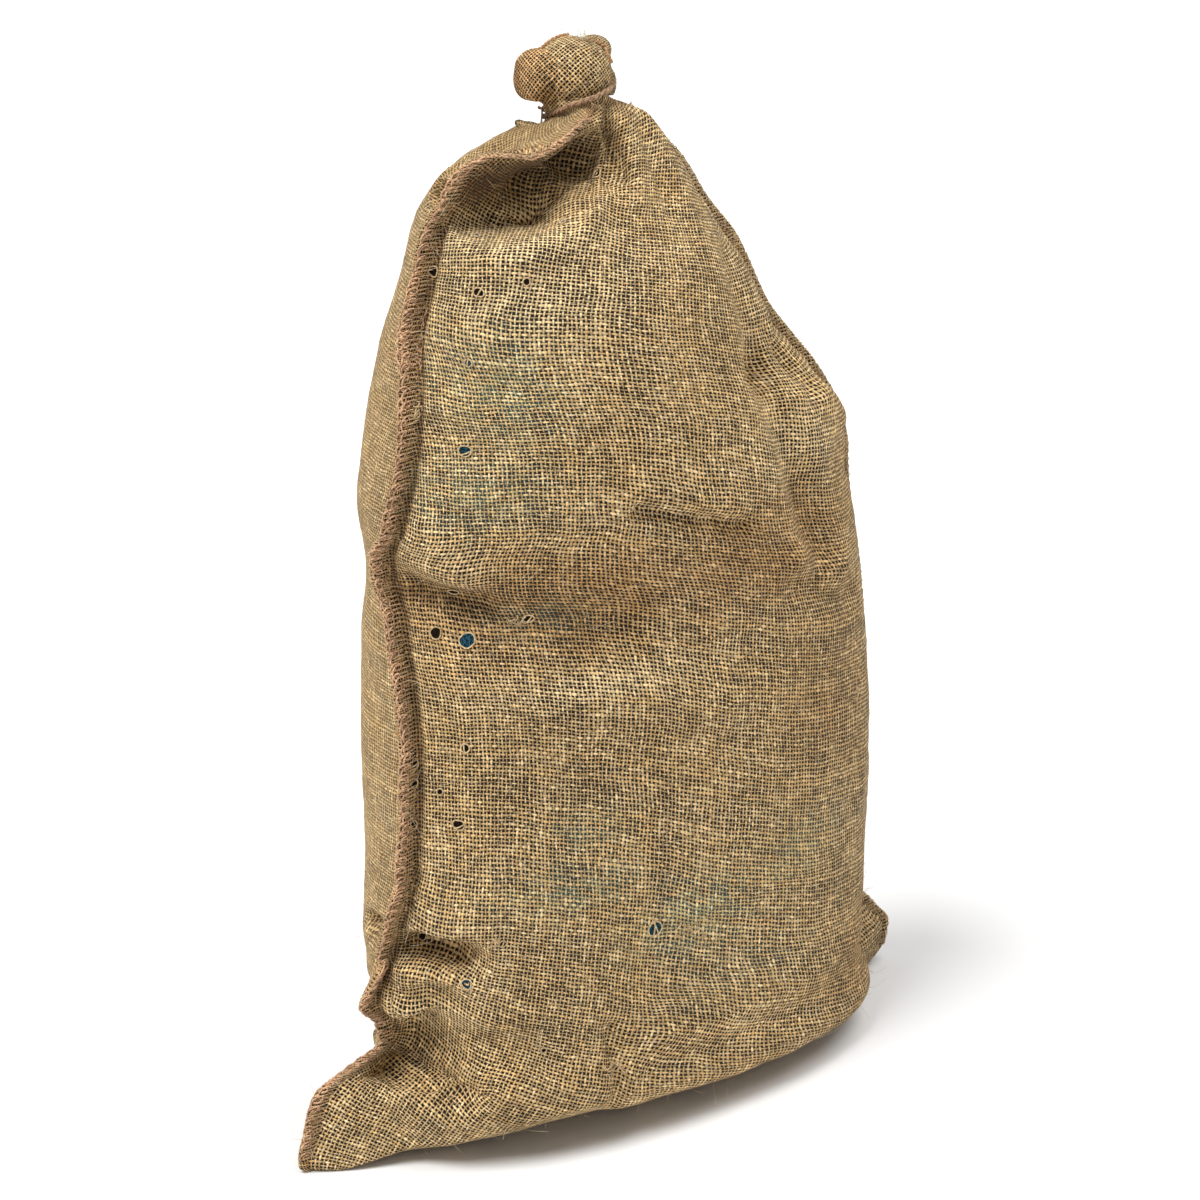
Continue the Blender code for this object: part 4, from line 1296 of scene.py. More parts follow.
def stains_and_painted_light(paint, colour, flat, spots, zones):
    """Broad stains and paler patches, orange flecks, and what the cloth's zones ask for: real tints,
    and painted shade and light where the zones hold them.
    """
    flat_u, flat_v = flat
    spot, other_spot = spots
    blue, brown, pale, seam, painted_shade = zones
    broad = paint.noise(spot, 9.0, 4.0, 0.65)
    colour = paint.mix(broad.between(0.42, 0.62) * GOLD_SHARE, colour, GOLD)
    pale_here = (pale + (paint.noise(other_spot, 14.0, 3.0) - 0.5) * 0.5).between(0.1, 0.8)
    colour = paint.mix(pale_here * PALE_SHARE, colour, PALE)
    fleck = paint.noise(paint.vector(flat_u * 90.0, flat_v * 260.0), 1.0, 3.0, 0.7)
    colour = paint.mix(fleck.between(0.62, 0.74) * ORANGE_SHARE, colour, ORANGE)
    colour = paint.tint(blue * BLUE_SHARE, colour, COOL)
    colour = paint.tint((brown + (broad - 0.5) * 0.6).between(0.0, 0.9), colour, BROWN)
    colour = paint.tint(seam * RUST_SHARE, colour, RUST)
    return paint.tint(painted_shade, colour, SHADE_TINT)


def hessian():
    """Plain-weave jute: uneven yarns over and under each other, with gaps between painted dark as
    shade.
    """
    paint = Paint("hessian", roughness=0.95, sheen=0.15)
    flat_u, flat_v, _ = paint.uv("weave")
    blue, brown, pale, seam = paint.attribute("zones")
    painted_shade, back, mouth = paint.attribute("painted_shade")[:3]
    spot = paint.vector(flat_u, flat_v)
    other_spot = paint.vector(flat_u + 3.7, flat_v + 1.9)
    u = thread_count(paint, flat_u, WARP_PITCH, spot)
    v = thread_count(paint, flat_v, WEFT_PITCH, other_spot)
    warp, weft = u.floor(), v.floor()
    across_warp, across_weft = u - warp - 0.5, v - weft - 0.5
    warp_chance = paint.chance(paint.vector(warp, 0.5, 2.5))
    weft_chance = paint.chance(paint.vector(0.5, weft, 7.5))
    cell_chance = paint.chance(paint.vector(warp, weft, 4.5))
    corner_chance = paint.chance(paint.vector((u + 0.5).floor(), (v + 0.5).floor(), 9.5))

    # Each yarn has its own thickness, and thicker and thinner stretches.
    warp_slub = paint.noise(paint.vector(warp * 7.31, flat_v * SLUB_SCALE), 1.0, 2.0)
    weft_slub = paint.noise(paint.vector(flat_u * SLUB_SCALE, weft * 5.17), 1.0, 2.0)
    open_here = paint.noise(spot, 24.0, 2.0)
    thin = open_here.between(0.35, 0.70, 0.020, -0.030)
    thin = thin + (corner_chance - 0.5) * CORNER_LUCK - mouth * MOUTH_THIN
    warp_half = yarn_half(WARP_YARN, warp_chance, warp_slub, thin)
    weft_half = yarn_half(WEFT_YARN, weft_chance, weft_slub, thin)

    # Which yarn is on top changes from one crossing to the next.
    crossing = (warp + weft).math("FLOORED_MODULO", 2.0) * 2.0 - 1.0
    warp_lift = (across_weft * np.pi).math("COSINE") * crossing
    weft_lift = (across_warp * np.pi).math("COSINE") * crossing * -1.0
    warp_inside, warp_height = yarn_relief(across_warp, warp_half, warp_lift)
    weft_inside, weft_height = yarn_relief(across_weft, weft_half, weft_lift)
    height = warp_height.larger(weft_height).larger(-1.0)
    on_warp = (warp_height - weft_height).between(-TOP_BLEND, TOP_BLEND)
    cloth = warp_inside.larger(weft_inside)

    # Fibres run along each yarn, a little on the slant because it is spun.
    across, slant, along = GRAIN
    along_warp = paint.vector(flat_u * across + flat_v * slant, flat_v * along)
    along_weft = paint.vector(flat_u * along, flat_v * across + flat_u * slant)
    warp_fibre = paint.noise(along_warp, 1.0, 2.0, 0.6)
    weft_fibre = paint.noise(along_weft, 1.0, 2.0, 0.6)
    colour = paint.mix(
        on_warp,
        yarn_colour(paint, weft_chance, weft_slub, weft_fibre),
        yarn_colour(paint, warp_chance, warp_slub, warp_fibre),
    )
    streaks = paint.noise(paint.vector(flat_u * 60.0, flat_v * 150.0), 1.0, 2.0).between(0.30, 0.60)
    blue_here = blue * streaks
    zones = (blue_here, brown, pale, seam, painted_shade)
    colour = stains_and_painted_light(paint, colour, (flat_u, flat_v), (spot, other_spot), zones)

    # Painted shade deep between the yarns and painted highlight on their tops; the gaps show the
    # unlit inside as painted shade.
    grain = cell_chance.between(0.0, 1.0, *CELL_TONES)
    depth = height.between(-0.30, 0.90, *SHADE_AND_HIGHLIGHT_TONES) * grain
    depth = depth + back * BACK_LIGHT * (depth * -1.0 + 1.0)
    colour = paint.darken(colour, depth)
    gap = paint.mix(back * BACK_SHOW, paint.mix(blue_here, GAP_SHADE, BLUE_GAP_SHADE), BACK_GAP)
    paint.colour(paint.mix(cloth, gap, colour))
    paint.bump(height + (warp_fibre + weft_fibre) * FIBRE_BUMP, CLOTH_BUMP)
    return paint.material


def yarn_material(name):
    """A loose thread or twine: light and dark fibres in patches."""
    paint = Paint(name, roughness=0.9, sheen=0.2)
    dark, light = YARNS[name]
    spot = paint.place()
    fibre = paint.noise(spot, 900.0, 3.0, 0.7)
    tone = paint.noise(spot, 60.0, 2.0).between(0.3, 0.7, 0.78, 1.1)
    paint.colour(paint.darken(paint.mix(fibre.between(0.35, 0.65), dark, light), tone))
    paint.bump(fibre, 0.0003, 0.6)
    return paint.material


def hole_material(name):
    """What shows inside an opening: dark as painted shade, with a little of the filling's colour."""
    paint = Paint(name, roughness=1.0)
    dark, light = HOLES[name]
    paint.shader.inputs["Specular IOR Level"].default_value = 0.1
    fibre = paint.noise(paint.place(), 1100.0, 2.0)
    paint.colour(paint.mix(fibre.between(0.40, 0.66), dark, light))
    return paint.material


# ---- Tubes of thread -------------------------------------------------------------------

PATH_GUIDE = (0.31, 0.52, 0.79)     # a direction that no path follows


def path_sides(path):
    """Two directions square to a path at each of its points."""
    forward = unit(np.gradient(path, axis=0))
    side = unit(np.cross(forward, np.array(PATH_GUIDE)))
    return side, np.cross(side, forward)


def tube_points(path, radius, sides):
    """Rings of points round a path."""
    path = np.asarray(path, dtype=float)
    side, up = path_sides(path)
    angle = (np.arange(sides) * 2 * np.pi / sides)[None, :, None]
    circle = side[:, None] * np.cos(angle) + up[:, None] * np.sin(angle)
    return path[:, None] + circle * radius


def tubes_mesh(name, paths, radii, sides):
    """One mesh of many closed tubes."""
    points, faces, start = [], [], 0
    for path, radius in zip(paths, radii):
        rings = tube_points(path, radius, sides)
        count = len(rings)
        points.append(rings.reshape(-1, 3))
        for i in range(count - 1):
            for j in range(sides):
                k = (j + 1) % sides
                low, high = start + i * sides, start + (i + 1) * sides
                faces.append((low + j, high + j, high + k, low + k))
        faces.append(tuple(start + j for j in range(sides)))
        last = start + (count - 1) * sides
        faces.append(tuple(last + sides - 1 - j for j in range(sides)))
        start += count * sides
    mesh = bpy.data.meshes.new(name)
    mesh.from_pydata(np.concatenate(points).tolist(), [], faces)
    mesh.shade_smooth()
    return mesh


def add_piece(name, mesh, material):
    """A piece of the scene that stays with the sack."""
    piece = bpy.data.objects.new(name, mesh)
    bpy.context.scene.collection.objects.link(piece)
    mesh.materials.clear()
    mesh.materials.append(material)
    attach(piece, BODY)
    return piece


# ---- The sewing ------------------------------------------------------------------------

STITCH_PITCH = 0.0029
STITCH_RADIUS = 0.00036
LOOP_RADIUS = 0.00058
STITCH_SIDES = 5
STITCH_INSET = 0.0024       # how far onto the front panel the needle went in
STITCH_SLANT = 0.0022
LOOP_PITCHES = (0.0068, 0.0083)     # of the chains that lie tangled over each other
TUFT_LEVELS = (0.545, 0.590)        # where the left seam's threads have frayed
TUFT_COUNT = 60
TUFT_RADIUS = 0.00032
TUFT_POINTS, TUFT_STEP = 6, 0.0014          # of each frayed end
TUFT_LIFTS = (0.0006, 0.0022)       # how far its start stands off the cloth, and how far it rises
TUFT_ACROSS = (-0.3, 1.3)   # where they start, from the edge to the front foot
TUFT_BEND = 0.8             # how much they turn at each step
HAIR_LEVEL, HAIR_HALF = 0.556, 0.0034       # a loop of thread standing off that seam
HAIR_POINTS = 22
WRAP_FRONT, WRAP_BACK = (0.62, 0.25), (0.35, 0.70)      # shares of the way to each foot
WRAP_BITE = 0.001           # how far past the back foot the needle came out
WRAP_LIFTS = (-0.0002, 0.0008, 0.0007, 0.0006, 0.0006, 0.0005, -0.0002)
WRAP_LUCK = 0.4             # how unevenly the wraps follow each other
INSET_RANGE = (0.7, 0.6)    # the least share of the inset and of the slant, and what luck adds
SLANT_RANGE = (0.6, 0.8)
LOOP_MIDDLE = 0.30          # share of the way from the edge to the front foot
LOOP_DRIFT = 0.0016
LOOP_DRIFT_STEP, LOOP_SIZE_STEP = 0.31, 0.47     # how fast its place and its size change
LOOP_SIZE_LUCK = 0.45       # and how much its size does
LOOP_LIFTS = (0.0009, 0.0005)       # how far a loop stands off the cloth, and rises and falls
LOOP_HALF_WIDTH = 0.0024
LOOP_HALF_LENGTH = 0.0030
LOOP_STEPS = 14             # points round each loop
SEWN_FROM = 0.010           # levels between which the sides are sewn
SEWN_TO = 0.683
STRIP_COLUMNS = 6           # columns of each panel beside a welt that the sewing may reach


class SeamStrip:
    """The cloth over one welt, from the front panel to the back one, as a flat strip."""

    def __init__(self, grid, levels, side):
        sewn = (levels >= SEWN_FROM) & (levels <= SEWN_TO)
        if side == "left":
            places = np.arange(STRIP_COLUMNS, -WELT_POINTS - STRIP_COLUMNS, -1)
            edge = -(WELT_POINTS + 1) // 2
        else:
            places = np.arange(FRONT_STEPS - STRIP_COLUMNS, BACK_START + STRIP_COLUMNS)
            edge = RIGHT_WELT + WELT_POINTS // 2
        self.lane = grid[sewn][:, places % AROUND]
        self.normal = grid_normals(grid)[sewn][:, places % AROUND]
        middle = int(np.nonzero(places == edge)[0][0])
        across = summed(np.linalg.norm(np.diff(self.lane, axis=1), axis=2), 1)
        self.across = across - across[:, middle:middle + 1]
        self.along = summed(np.linalg.norm(np.diff(self.lane[:, middle], axis=0), axis=1), 0)
        welt_half = WELT_POINTS // 2 + 1
        self.front_foot = self.across[:, middle - welt_half]
        self.back_foot = self.across[:, middle + welt_half]
        self.length = self.along[-1]

    def row(self, s):
        return np.interp(s, self.along, np.arange(len(self.along)))

    def feet(self, s):
        """How far the welt's two feet lie from its edge; the front one is below 0."""
        return np.interp(s, self.along, self.front_foot), np.interp(s, self.along, self.back_foot)

    def point(self, s, t, lift):
        """The place s along the seam and t across it, lifted off the cloth."""
        row = self.row(s)
        low = min(int(row), len(self.along) - 2)
        share = row - low
        place, outward = np.zeros(3), np.zeros(3)
        for at, weight in ((low, 1 - share), (low + 1, share)):
            for k in range(3):
                place[k] += weight * np.interp(t, self.across[at], self.lane[at, :, k])
                outward[k] += weight * np.interp(t, self.across[at], self.normal[at, :, k])
        return place + outward / np.linalg.norm(outward) * lift


def wraps(strip, seed):
    """The needle thread: one wrap after another, from the front panel over the welt."""
    paths = []
    count = int(strip.length / STITCH_PITCH)
    luck = chance(np.column_stack((np.arange(count), np.zeros(count), np.ones(count))), seed)
    other = chance(np.column_stack((np.arange(count), np.ones(count), np.ones(count))), seed)
    for i in range(count):
        s = (i + 0.5 + WRAP_LUCK * (luck[i] - 0.5)) * STITCH_PITCH
        front, back = strip.feet(s)
        inset = STITCH_INSET * (INSET_RANGE[0] + INSET_RANGE[1] * other[i])
        stops = (
            front - inset, *(front * share for share in WRAP_FRONT), 0.0,
            *(back * share for share in WRAP_BACK), back + WRAP_BITE,
        )
        slant = STITCH_SLANT * (SLANT_RANGE[0] + SLANT_RANGE[1] * luck[i])
        paths.append([
            strip.point(np.clip(s - slant * k / 6, 0, strip.length), t, lift)
            for k, (t, lift) in enumerate(zip(stops, WRAP_LIFTS))
        ])
    return paths


def loops(strip, pitch, seed):
    """The looper thread: a chain of small loops along the welt's edge."""
    count = int(strip.length / pitch)
    turns = np.linspace(0, count, count * LOOP_STEPS + 1)
    sway = noise(np.column_stack((turns * LOOP_DRIFT_STEP, turns * 0, turns * 0)), 1.0, seed)
    size = noise(np.column_stack((turns * LOOP_SIZE_STEP, turns * 0, turns * 0)), 1.0, seed + 1)
    size = 1 + LOOP_SIZE_LUCK * size
    path = []
    for turn, drift, scale in zip(turns, sway, size):
        angle = 2 * np.pi * turn
        s = turn * pitch + LOOP_HALF_LENGTH * scale * np.sin(angle)
        s = np.clip(s, 0, strip.length)
        front, _ = strip.feet(s)
        t = front * LOOP_MIDDLE + LOOP_DRIFT * drift + LOOP_HALF_WIDTH * scale * np.cos(angle)
        path.append(strip.point(s, t, LOOP_LIFTS[0] + LOOP_LIFTS[1] * np.sin(angle + seed)))
    return path


def tuft(strip, levels):
    """Frayed ends over the left seam, and one loop standing off it."""
    sewn = levels[(levels >= SEWN_FROM) & (levels <= SEWN_TO)]
    low, high = (np.interp(level, sewn, strip.along) for level in TUFT_LEVELS)
    luck = np.random.default_rng(19)
    paths = []
    for _ in range(TUFT_COUNT):
        s = luck.triangular(low, (low + high) / 2, high)
        front, _ = strip.feet(s)
        t = front * luck.uniform(*TUFT_ACROSS)
        way = luck.uniform(0, 2 * np.pi)
        path = []
        for step in range(TUFT_POINTS):
            lift = TUFT_LIFTS[0] + TUFT_LIFTS[1] * luck.random() * step / (TUFT_POINTS - 1)
            path.append(strip.point(np.clip(s, 0, strip.length), t, lift))
            way += luck.normal() * TUFT_BEND
            s, t = s + TUFT_STEP * np.sin(way), t + TUFT_STEP * np.cos(way)
        paths.append(path)
    at = np.interp(HAIR_LEVEL, sewn, strip.along)
    turn = np.linspace(0.5 * np.pi, 2.4 * np.pi, HAIR_POINTS)
    paths.append([
        strip.point(at + HAIR_HALF * 0.9 * np.cos(a), 0.001, 0.001 + HAIR_HALF * (1 - np.sin(a)))
        for a in turn
    ])
    return paths


def add_sewing(grid, levels):
    """Both sides' wraps and loops; the left side's are thicker, tangled and frayed."""
    threads = {"left": yarn_material("jute_thread"), "right": yarn_material("pale_thread")}
    for side, seed in (("left", 11), ("right", 23)):
        strip = SeamStrip(grid, levels, side)
        paths = wraps(strip, seed)
        mesh = tubes_mesh(side + "_wraps", paths, [STITCH_RADIUS] * len(paths), STITCH_SIDES)
        add_piece(side + "_wraps", mesh, threads["right"])
        paths, radii = [], []
        for pitch in LOOP_PITCHES if side == "left" else LOOP_PITCHES[:1]:
            seed += 1
            paths.append(loops(strip, pitch, seed))
            radii.append(LOOP_RADIUS if side == "left" else STITCH_RADIUS)
        if side == "left":
            ends = tuft(strip, levels)
            paths.extend(ends)
            radii.extend([TUFT_RADIUS] * len(ends))
        mesh = tubes_mesh(side + "_stitches", paths, radii, STITCH_SIDES)
        sewing = add_piece(side + "_stitches", mesh, threads[side])


# ---- The twine -------------------------------------------------------------------------

PLY_RADIUS = 0.00092
TWINE_BITE = 0.0014         # how far the twine's middle stands off the drawn-in cloth
PLY_SIDES = 8
PLY_PITCH = 0.0085
PLY_SPREAD = 0.86           # how far a ply lies from the twine's middle, in its radii
PATH_STEP = 0.0008          # between the points of a thread's path
KNOT_OUT = 0.0285           # from the middle of the neck to the knot behind it
KNOT_DOWN = 0.0088
KNOT_HALF = (0.0052, 0.0034, 0.0030)
KNOT_POINTS = 70
# The two free ends, from inside the knot outwards, lying on the shoulders.
RIGHT_END = (
    (0.000, 0.0335, 0.6812), (0.014, 0.0345, 0.6800), (0.028, 0.0305, 0.6770),
    (0.041, 0.0235, 0.6745), (0.047, 0.0200, 0.6745),
)
RIGHT_END_LAID = (1.5, 0.35)        # lift in ply radii, and from which share of its length
RIGHT_TIP = ((0.0008, -0.0003, 0.0018), (0.0014, -0.0006, 0.0036))     # standing up from its end
LEFT_END = (
    (-0.004, 0.0335, 0.6812), (-0.013, 0.0290, 0.6840), (-0.0190, 0.0205, 0.6880),
    (-0.0225, 0.0120, 0.6890), (-0.0245, 0.0092, 0.6860), (-0.0262, 0.0078, 0.6810),
)
# The turned edges of the cloth over the mouth's left and right lobes.
MOUTH_HEMS = (
    ((-0.0301, 0.0257, 0.7026), (-0.0256, 0.0278, 0.7173), (-0.0175, 0.0252, 0.7229),
     (-0.0075, 0.0217, 0.7270), (0.0028, 0.0183, 0.7290)),
    ((0.0114, 0.0112, 0.7296), (0.0170, 0.0063, 0.7277), (0.0216, 0.0012, 0.7217),
     (0.0201, -0.0021, 0.7138)),
)
HEM_PLY = 0.0009
HEM_SPREAD = 0.8
HEM_LIFT = 0.0004
HEM_PITCH = 0.0052
HEM_REACH = 1.5             # points over which a hem's path is evened out
STRAND_RADIUS = 0.0006      # the left end has come undone to one thin strand
FRAY_SPREAD = 0.0035
FRAY_COUNT = 9
FRAY_WAY = (0.001, -0.001, 0.0025)
FRAY_STEP = 0.0006


def neck_frame():
    """The middle of the tied neck, and the half axes of the round it is drawn to."""
    level = np.array([TIE_LEVEL])
    row = {**columns(OUTLINE, OUTLINE_COLUMNS, level), **columns(DEPTH, DEPTH_COLUMNS, level)}
    row = {name: float(value[0]) for name, value in row.items()}
    centre = np.array((
        (row["left_x"] + row["right_x"]) / 2, row["middle_y"], (row["left_z"] + row["right_z"]) / 2,
    ))
    across = np.array((row["right_x"] - row["left_x"], 0.0, row["right_z"] - row["left_z"])) / 2
    behind = np.array((0.0, row["back"], -row["tip"]))
    return centre, across, behind


def even_path(points, step=PATH_STEP):
    """A path through the points with a point every so often."""
    points = np.asarray(points, dtype=float)
    run = summed(np.linalg.norm(np.diff(points, axis=0), axis=1), 0)
    at = np.linspace(0, run[-1], max(3, int(run[-1] / step)))
    return np.column_stack([monotone_curve(run, points[:, k], at) for k in range(3)])


def plies(path, radius, pitch):
    """Two plies twisted round a path."""
    run = summed(np.linalg.norm(np.diff(path, axis=0), axis=1), 0)
    side, up = path_sides(path)
    found = []
    for phase in (0.0, np.pi):
        angle = (2 * np.pi * run / pitch + phase)[:, None]
        found.append(path + radius * (side * np.cos(angle) + up * np.sin(angle)))
    return found


def twine_route(grid, levels):
    """One turn round the neck, drawn tight on the cloth."""
    at = np.abs(levels - TIE_LEVEL).argmin()
    round_neck = softened(grid[at].T, 3, 1).T
    centre = round_neck.mean(axis=0)
    out = unit(round_neck - centre)
    route = round_neck + out * TWINE_BITE
    return np.concatenate((route, route[:2]))


def knot_route():
    """The twine over and under itself in the knot."""
    centre, _, _ = neck_frame()
    middle = centre + np.array((0.0, KNOT_OUT, -KNOT_DOWN))
    turn = np.linspace(0, 2 * np.pi, KNOT_POINTS)
    trefoil = np.column_stack((
        np.sin(turn) + 2 * np.sin(2 * turn),
        -np.sin(3 * turn) * 1.6,
        np.cos(turn) - 2 * np.cos(2 * turn),
    )) / 3
    return middle + trefoil * np.array(KNOT_HALF)


def laid(path, grid, lift, loose):
    """Lay a path on the cloth from a share of its length onwards."""
    points, normals = grid.reshape(-1, 3), grid_normals(grid).reshape(-1, 3)
    path = path.copy()
    for k in range(int(loose * len(path)), len(path)):
        near = np.linalg.norm(points - path[k], axis=1).argmin()
        off = (path[k] - points[near]) @ normals[near] - lift
        path[k] -= normals[near] * off
    return path


def add_hems(grid):
    """The turned edges of the mouth's lobes."""
    paths = []
    for hem in MOUTH_HEMS:
        route = laid(even_path(hem), grid, HEM_LIFT, 0.0)
        route = np.column_stack([softened(route[:, k:k + 1], HEM_REACH, 0) for k in range(3)])
        paths.extend(plies(route, HEM_PLY * HEM_SPREAD, HEM_PITCH))
    mesh = tubes_mesh("mouth_hems", paths, [HEM_PLY] * len(paths), PLY_SIDES)
    add_piece("mouth_hems", mesh, yarn_material("hem_thread"))


def frayed(tip):
    """The strands that a free end comes undone to."""
    paths = []
    for k in range(FRAY_COUNT):
        luck = np.array([chance((k, axis, 5), 31) for axis in range(3)]) - 0.5
        reach = np.array(FRAY_WAY) + luck * FRAY_SPREAD
        start = tip - (0.0, 0.0, 0.002)
        paths.append(even_path((start, tip + reach * 0.5, tip + reach), FRAY_STEP))
    return paths


def add_twine(grid, levels):
    """The twine round the neck, its knot and its two free ends."""
    twine = yarn_material("jute_twine")
    lift, loose = RIGHT_END_LAID
    right_end = laid(even_path(RIGHT_END), grid, PLY_RADIUS * lift, loose)
    right_end = np.concatenate((right_end, right_end[-1:] + RIGHT_TIP))
    paths = []
    for route in (twine_route(grid, levels), knot_route(), right_end):
        paths.extend(plies(route, PLY_RADIUS * PLY_SPREAD, PLY_PITCH))
    radii = [PLY_RADIUS] * len(paths) + [STRAND_RADIUS] + [FIBRE_RADIUS * 2] * FRAY_COUNT
    paths.append(even_path(LEFT_END))
    paths.extend(frayed(right_end[-1]))
    tie = add_piece("twine_tie", tubes_mesh("twine_tie", paths, radii, PLY_SIDES), twine)
    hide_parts("tie")


# ---- Snags, and stray fibres --------------------------------------------------------------

# Where yarns have broken, what shows inside, and how many yarns are left across.
SNAGS = (
    # x, z, half_width, half_height, inside, across
    (-0.010, 0.656, 0.0030, 0.0032, "dark", 1),
    (-0.046, 0.636, 0.0022, 0.0020, "blue", 1),
    (-0.081, 0.608, 0.0020, 0.0022, "dark", 0),
    (-0.103, 0.600, 0.0032, 0.0026, "dark", 1),
    (-0.114, 0.606, 0.0026, 0.0030, "dark", 0),
    (-0.090, 0.628, 0.0016, 0.0018, "blue", 0),
    (-0.113, 0.558, 0.0022, 0.0022, "blue", 1),
    (-0.141, 0.525, 0.0030, 0.0022, "dark", 2),
    (-0.121, 0.505, 0.0036, 0.0032, "blue", 1),
    (-0.126, 0.410, 0.0034, 0.0016, "dark", 0),
    (-0.141, 0.386, 0.0034, 0.0038, "dark", 0),
    (-0.128, 0.383, 0.0046, 0.0046, "blue", 0),
    (-0.092, 0.395, 0.0034, 0.0026, "dark", 2),
    (-0.132, 0.311, 0.0024, 0.0030, "dark", 1),
    (-0.159, 0.296, 0.0026, 0.0034, "dark", 1),
    (-0.159, 0.281, 0.0024, 0.0030, "dark", 0),
    (-0.144, 0.279, 0.0018, 0.0020, "dark", 0),
    (-0.136, 0.257, 0.0034, 0.0032, "dark", 1),
    (-0.156, 0.252, 0.0024, 0.0028, "dark", 0),
    (-0.138, 0.157, 0.0028, 0.0030, "dark", 0),
    (-0.115, 0.171, 0.0022, 0.0022, "dark", 1),
    (-0.134, 0.140, 0.0034, 0.0034, "blue", 1),
    (-0.137, 0.100, 0.0030, 0.0018, "dark", 0),
    (-0.013, 0.162, 0.0052, 0.0046, "blue", 2),
    (-0.090, 0.087, 0.0018, 0.0018, "dark", 0),
)
# Yarns pulled out of the weave, in heaps.
PULLS = (
    # x, z, spread, count
    (0.015, 0.150, 0.014, 9),
    (-0.044, 0.064, 0.007, 16),
    (-0.141, 0.525, 0.007, 6),
    (-0.098, 0.395, 0.006, 5),
    (-0.120, 0.171, 0.006, 5),
    (0.177, 0.271, 0.006, 4),
)
SNAG_SIDES = 18
SNAG_LIFT = 0.0005
RIM_RADIUS = 0.00050
SNAG_RAGGED = 0.16          # how much an opening's edge wanders, in shares of its size
RIM_SWAY, RIM_SWAY_STEP = 0.0003, 2.3     # how far and how soon the yarn round it sways
RIM_OUT = 1.08              # how far out it lies, in shares of the opening
RIM_LIFT = 0.0006
ACROSS_REACH, ACROSS_LIFT = 1.25, 0.0012        # of the yarns left across
ACROSS_TURN, ACROSS_BOW = 2.4, 1.3
PULL_RADIUS = 0.00042
PULL_REACHES = (0.002, 0.003)       # half the length of a pulled yarn, and how much it varies
PULL_LIFTS = (-0.0004, 0.0014, 0.0016, -0.0003)     # of its four points off the cloth
FIBRE_COUNT = 2600
FIBRE_RADIUS = 0.00011
FIBRE_POINTS = 6
FIBRE_SIDES = 3
FIBRES_FROM = 0.01          # the lowest level that they stand off
FIBRE_LENGTHS = (0.004, 0.016)
FIBRE_RISE = (0.15, 1.0)    # how steeply they leave the cloth
FIBRE_LEAN = 0.8            # against how far they lean to any side
FIBRE_CURL, FIBRE_SINK = 0.5, 0.25      # how far they curl, and bend back to the cloth
FIBRE_PAST = 0.012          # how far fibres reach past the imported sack's depth at most


class FrontCloth:
    """The front panel, which can be asked where the cloth lies at a place seen from the front."""

    def __init__(self, grid):
        panel = grid[:, :FRONT_STEPS + 1]
        self.points = panel.reshape(-1, 3)
        self.normals = grid_normals(grid)[:, :FRONT_STEPS + 1].reshape(-1, 3)

    def nearest(self, away):
        """The cloth's place and direction amid its four nearest points."""
        near = np.argsort(away)[:4]
        weight = 1 / (away[near] + SMALL)
        weight = weight / weight.sum()
        return weight @ self.points[near], unit(weight @ self.normals[near])

    def at(self, x, z):
        return self.nearest(np.hypot(self.points[:, 0] - x, self.points[:, 2] - z))

    def lifted(self, place, lift):
        """A place moved out or in to the given height over the cloth."""
        spot, outward = self.nearest(np.linalg.norm(self.points - place, axis=1))
        return place + outward * (lift - (place - spot) @ outward)


def snag_frame(cloth, x, z):
    """A place on the front, and the directions right, up and outward there."""
    middle, outward = cloth.at(x, z)
    right = unit(np.cross((0.0, 0.0, 1.0), outward))
    return middle, right, np.cross(outward, right), outward


def snag_disc(cloth, snag, seed):
    """The opening itself: a thin closed disc on the cloth, painted as the shaded inside."""
    x, z, half_width, half_height, _, _ = snag
    middle, right, up, outward = snag_frame(cloth, x, z)
    turn = np.arange(SNAG_SIDES) * 2 * np.pi / SNAG_SIDES
    circle = np.column_stack((np.cos(turn), np.sin(turn), 0 * turn + seed))
    luck = 1 + SNAG_RAGGED * noise(circle, 0.7, seed)
    wide, high = half_width * luck * np.cos(turn), half_height * luck * np.sin(turn)
    rim = np.array([cloth.lifted(middle + right * a + up * b, 0.0) for a, b in zip(wide, high)])
    top = rim + outward * SNAG_LIFT
    points = np.concatenate((rim - outward * SNAG_LIFT, top))
    sides = [(k, (k + 1) % SNAG_SIDES) for k in range(SNAG_SIDES)]
    faces = [(a, b, b + SNAG_SIDES, a + SNAG_SIDES) for a, b in sides]
    faces.append(tuple(range(SNAG_SIDES, 2 * SNAG_SIDES)))
    faces.append(tuple(reversed(range(SNAG_SIDES))))
    return points, faces, rim


def discs_mesh(name, discs):
    """One mesh of many discs."""
    points, faces, start = [], [], 0
    for disc_points, disc_faces, _ in discs:
        points.append(disc_points)
        faces.extend(tuple(start + k for k in face) for face in disc_faces)
        start += len(disc_points)
    mesh = bpy.data.meshes.new(name)
    mesh.from_pydata(np.concatenate(points).tolist(), [], faces)
    return mesh


